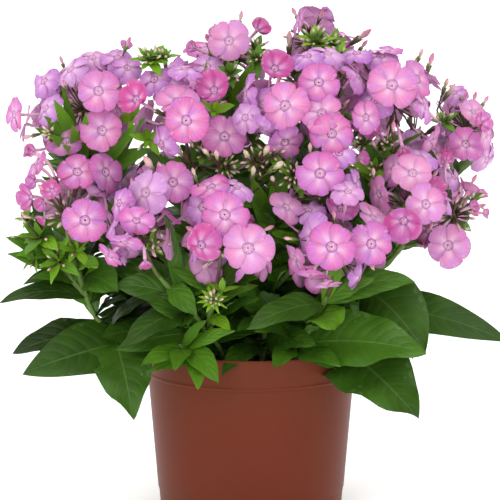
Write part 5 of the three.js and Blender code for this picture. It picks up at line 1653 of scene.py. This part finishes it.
def blades_mesh(name, chosen):
    places, marks, faces, tones = [], [], [], []
    for leaf in chosen:
        spots, own, rings = blade(leaf)
        faces += [[corner + len(places) for corner in ring] for ring in rings]
        places += spots
        marks += own
        length = np.linalg.norm(leaf["tip"] - leaf["base"])
        tones += [(leaf["tone"], length / VEIN_GAP, next(lot))] * len(spots)
    mesh = marked_mesh(name, places, marks, faces, "blade_place")
    layer = mesh.attributes.new("blade_tone", "FLOAT_VECTOR", "POINT")
    layer.data.foreach_set("vector", [c for tone in tones for c in tone])
    return mesh


leaf_tissue, tree = blank_material("leaf_tissue")
fields = [add(tree, "ShaderNodeAttribute", attribute_name="blade_" + name) for name in ("place", "tone")]
spot, tone = [add(tree, "ShaderNodeSeparateXYZ", {0: field.outputs["Vector"]}).outputs for field in fields]
where = add(tree, "ShaderNodeTexCoord").outputs["Object"]
beside = add(tree, "ShaderNodeMath", {0: spot["Y"]}, operation="ABSOLUTE")
wander = add(tree, "ShaderNodeTexNoise", {"Vector": where, "Scale": 130.0, "Detail": 3.0})
rows = add(tree, "ShaderNodeMath", {0: spot["X"], 1: tone["Y"]}, operation="MULTIPLY")
lean = add(tree, "ShaderNodeMath", {0: beside, 1: 1.35}, operation="POWER")
swept = add(tree, "ShaderNodeMath", {0: lean, 1: -1.9, 2: rows}, operation="MULTIPLY_ADD")
bent = add(tree, "ShaderNodeMath", {0: wander, 1: 0.5, 2: swept}, operation="MULTIPLY_ADD")
from_vein = add(tree, "ShaderNodeMath", {0: bent, 1: 0.5}, operation="PINGPONG")
side_vein = add(
    tree, "ShaderNodeMapRange",
    {"Value": from_vein, "From Min": 0.0, "From Max": 0.14, "To Min": 1.0, "To Max": 0.0},
    interpolation_type="SMOOTHSTEP",
)
midrib_line = add(
    tree, "ShaderNodeMapRange",
    {"Value": beside, "From Min": 0.01, "From Max": 0.055, "To Min": 1.0, "To Max": 0.0},
    interpolation_type="SMOOTHSTEP",
)
fade = add(tree, "ShaderNodeMath", {0: beside, 1: -0.04, 2: 0.06}, operation="MULTIPLY_ADD")
faint = add(tree, "ShaderNodeMath", {0: side_vein, 1: fade}, operation="MULTIPLY")
strong = add(tree, "ShaderNodeMath", {0: midrib_line, 1: 0.22}, operation="MULTIPLY")
vein = add(tree, "ShaderNodeMath", {0: faint, 1: strong}, operation="MAXIMUM")
patchy = add(tree, "ShaderNodeTexNoise", {"Vector": where, "Scale": 45.0, "Detail": 3.0})
drift = add(tree, "ShaderNodeMath", {0: patchy, 1: 0.3, 2: -0.15}, operation="MULTIPLY_ADD")
# A leaf's tone holds both its age and its painted shade.
age_and_shade = add(tree, "ShaderNodeMath", {0: tone["X"], 1: drift}, operation="ADD")
green = add(
    tree, "ShaderNodeValToRGB", {0: age_and_shade},
    stops=[(0.0, "#20360B"), (0.3, "#406A17"), (0.6, "#5E901D"), (0.85, "#88B825"), (1.0, "#ACCC3E")],
)
veined = add(tree, "ShaderNodeMix", {0: vein, 6: green, 7: "#7C9F58"}, data_type="RGBA")
under = add(tree, "ShaderNodeMath", {0: spot["Z"], 1: 0.7}, operation="MULTIPLY")
sided = add(tree, "ShaderNodeMix", {0: under, 6: veined, 7: "#5F7F4C"}, data_type="RGBA")
cushion = add(
    tree, "ShaderNodeMapRange", {"Value": from_vein, "From Min": 0.0, "From Max": 0.35},
    interpolation_type="SMOOTHSTEP",
)
dent = add(tree, "ShaderNodeMath", {0: cushion, 1: midrib_line}, operation="SUBTRACT")
quilting = add(tree, "ShaderNodeBump", {"Strength": 0.32, "Distance": 0.0007, "Height": dent})
pores = add(tree, "ShaderNodeTexNoise", {"Vector": where, "Scale": 900.0, "Detail": 2.0})
grain = add(
    tree, "ShaderNodeBump", {"Strength": 0.25, "Distance": 0.0003, "Height": pores, "Normal": quilting},
)
surface = add(
    tree, "ShaderNodeBsdfPrincipled",
    {"Base Color": sided, "Roughness": 0.42, "Specular IOR Level": 0.28, "Normal": grain},
)
add(tree, "ShaderNodeOutputMaterial", {"Surface": surface})

# ---- Leafy stems: stalks ----
# Round, upright, slightly woody stalks, a little swollen where each pair of leaves is set: fresh green
# in the shade of the leaves and flushed purple-brown towards the heads.

stem_skin, tree = blank_material("stem_skin")
where = add(tree, "ShaderNodeTexCoord").outputs["Object"]
level = add(tree, "ShaderNodeSeparateXYZ", {0: where}).outputs
streak = add(tree, "ShaderNodeMapping", {"Vector": where, "Scale": (500.0, 500.0, 40.0)})
streaks = add(tree, "ShaderNodeTexNoise", {"Vector": streak, "Scale": 1.0, "Detail": 2.0})
rise = add(
    tree, "ShaderNodeMapRange",
    {"Value": level["Z"], "From Min": 0.1, "From Max": 0.3, "To Min": 0.0, "To Max": 0.8},
)
flushed = add(tree, "ShaderNodeMath", {0: streaks, 1: 0.6, 2: rise}, operation="MULTIPLY_ADD")
skin = add(
    tree, "ShaderNodeValToRGB", {0: flushed},
    stops=[(0.25, "#74913C"), (0.55, "#62803A"), (0.9, "#5C552C"), (1.0, "#50342E")],
)
surface = add(
    tree, "ShaderNodeBsdfPrincipled", {"Base Color": skin, "Roughness": 0.5, "Specular IOR Level": 0.4},
)
add(tree, "ShaderNodeOutputMaterial", {"Surface": surface})

stalk_tree, given = geometry_tree("stalks_among_leaves", {
    "Blades": ["Geometry"], "Stalks": ["Object"], "Sides": ["Int"], "Leaf tissue": ["Material"],
    "Stem skin": ["Material"],
})
leafy = add(stalk_tree, "GeometryNodeSetMaterial", {0: given["Blades"], "Material": given["Leaf tissue"]})
stalks = rods_along(stalk_tree, given, "Stalks", "Stem skin")
together = add(stalk_tree, "GeometryNodeJoinGeometry", {0: [stalks, leafy]})
add(stalk_tree, "NodeGroupOutput", {0: together})


STALK_STEPS = 40
SWELLING, SWELLING_LENGTH = 0.5, 2.2    # mm, how much wider a stalk is at a node, and over what length


def stalk_line(points, nodes, thin):
    """One run as a line of (place, radius), swollen at these heights."""
    line = []
    for i in range(STALK_STEPS + 1):
        share = i / STALK_STEPS
        place = on_line(points, share)
        radius = STEM_AT_ROOT + (STEM_AT_HEAD - STEM_AT_ROOT) * max(share, thin)
        swell = max((math.exp(-(((place[2] - node) / SWELLING_LENGTH) ** 2)) for node in nodes), default=0)
        line.append((place, radius + SWELLING * swell))
    return line


LOW_LEAVES = 165            # mm, below which the leaves are shaded
# mm, the width above which a leaf is given a little painted shade
BROAD_WIDTH = 36


def leaf_tone(leaf):
    """How bright a leaf is: small young ones most; painted shade makes low ones at the left and behind
    least.
    """
    if STEM_NAMES[leaf["stem"]].startswith("shoot"):
        return 0.4 + 0.2 * next(lot)
    length = np.linalg.norm(leaf["tip"] - leaf["base"])
    young = max(0.0, min(1.0, (65 - length) / 40))
    x, y, z = leaf["tip"]
    # Painted shade darkens low side leaves and, a little, broad ones.
    shade = 0.1 if "side" in leaf and z < LOW_LEAVES else 0.04 * (leaf["width"] > BROAD_WIDTH)
    if z < LOW_LEAVES and x < 60:   # painted shade on all but the right-hand side, darkest behind the front leaves
        shade = 0.28 if y > -80 else 0.12 if x < -40 else 0.04
    return 0.14 - shade + 0.22 * next(lot) + 0.42 * young * (0.4 + 0.6 * next(lot))


for leaf in leaves:
    leaf["tone"] = leaf_tone(leaf)
leaves += rosette_leaves
for number, name in enumerate(STEM_NAMES):
    own = [leaf for leaf in leaves if leaf["stem"] == number]
    nodes = [leaf["base"][2] for leaf in own if "side" not in leaf]
    stalks = [stalk_line(points, nodes, 0.5 if run else 0) for run, points in enumerate(RUNS[number])]
    piece = piece_from(name.replace("stem", "leafy_stem"), blades_mesh(name, own))
    grown(piece, stalk_tree, Stalks=line_object("stalks", stalks), Sides=10, Leaf_tissue=leaf_tissue,
          Stem_skin=stem_skin)
    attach(piece, "root")
    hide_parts(name)

size = {"cad": [list(c) for c in cad_box], "scene": [list(c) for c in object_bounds()]}
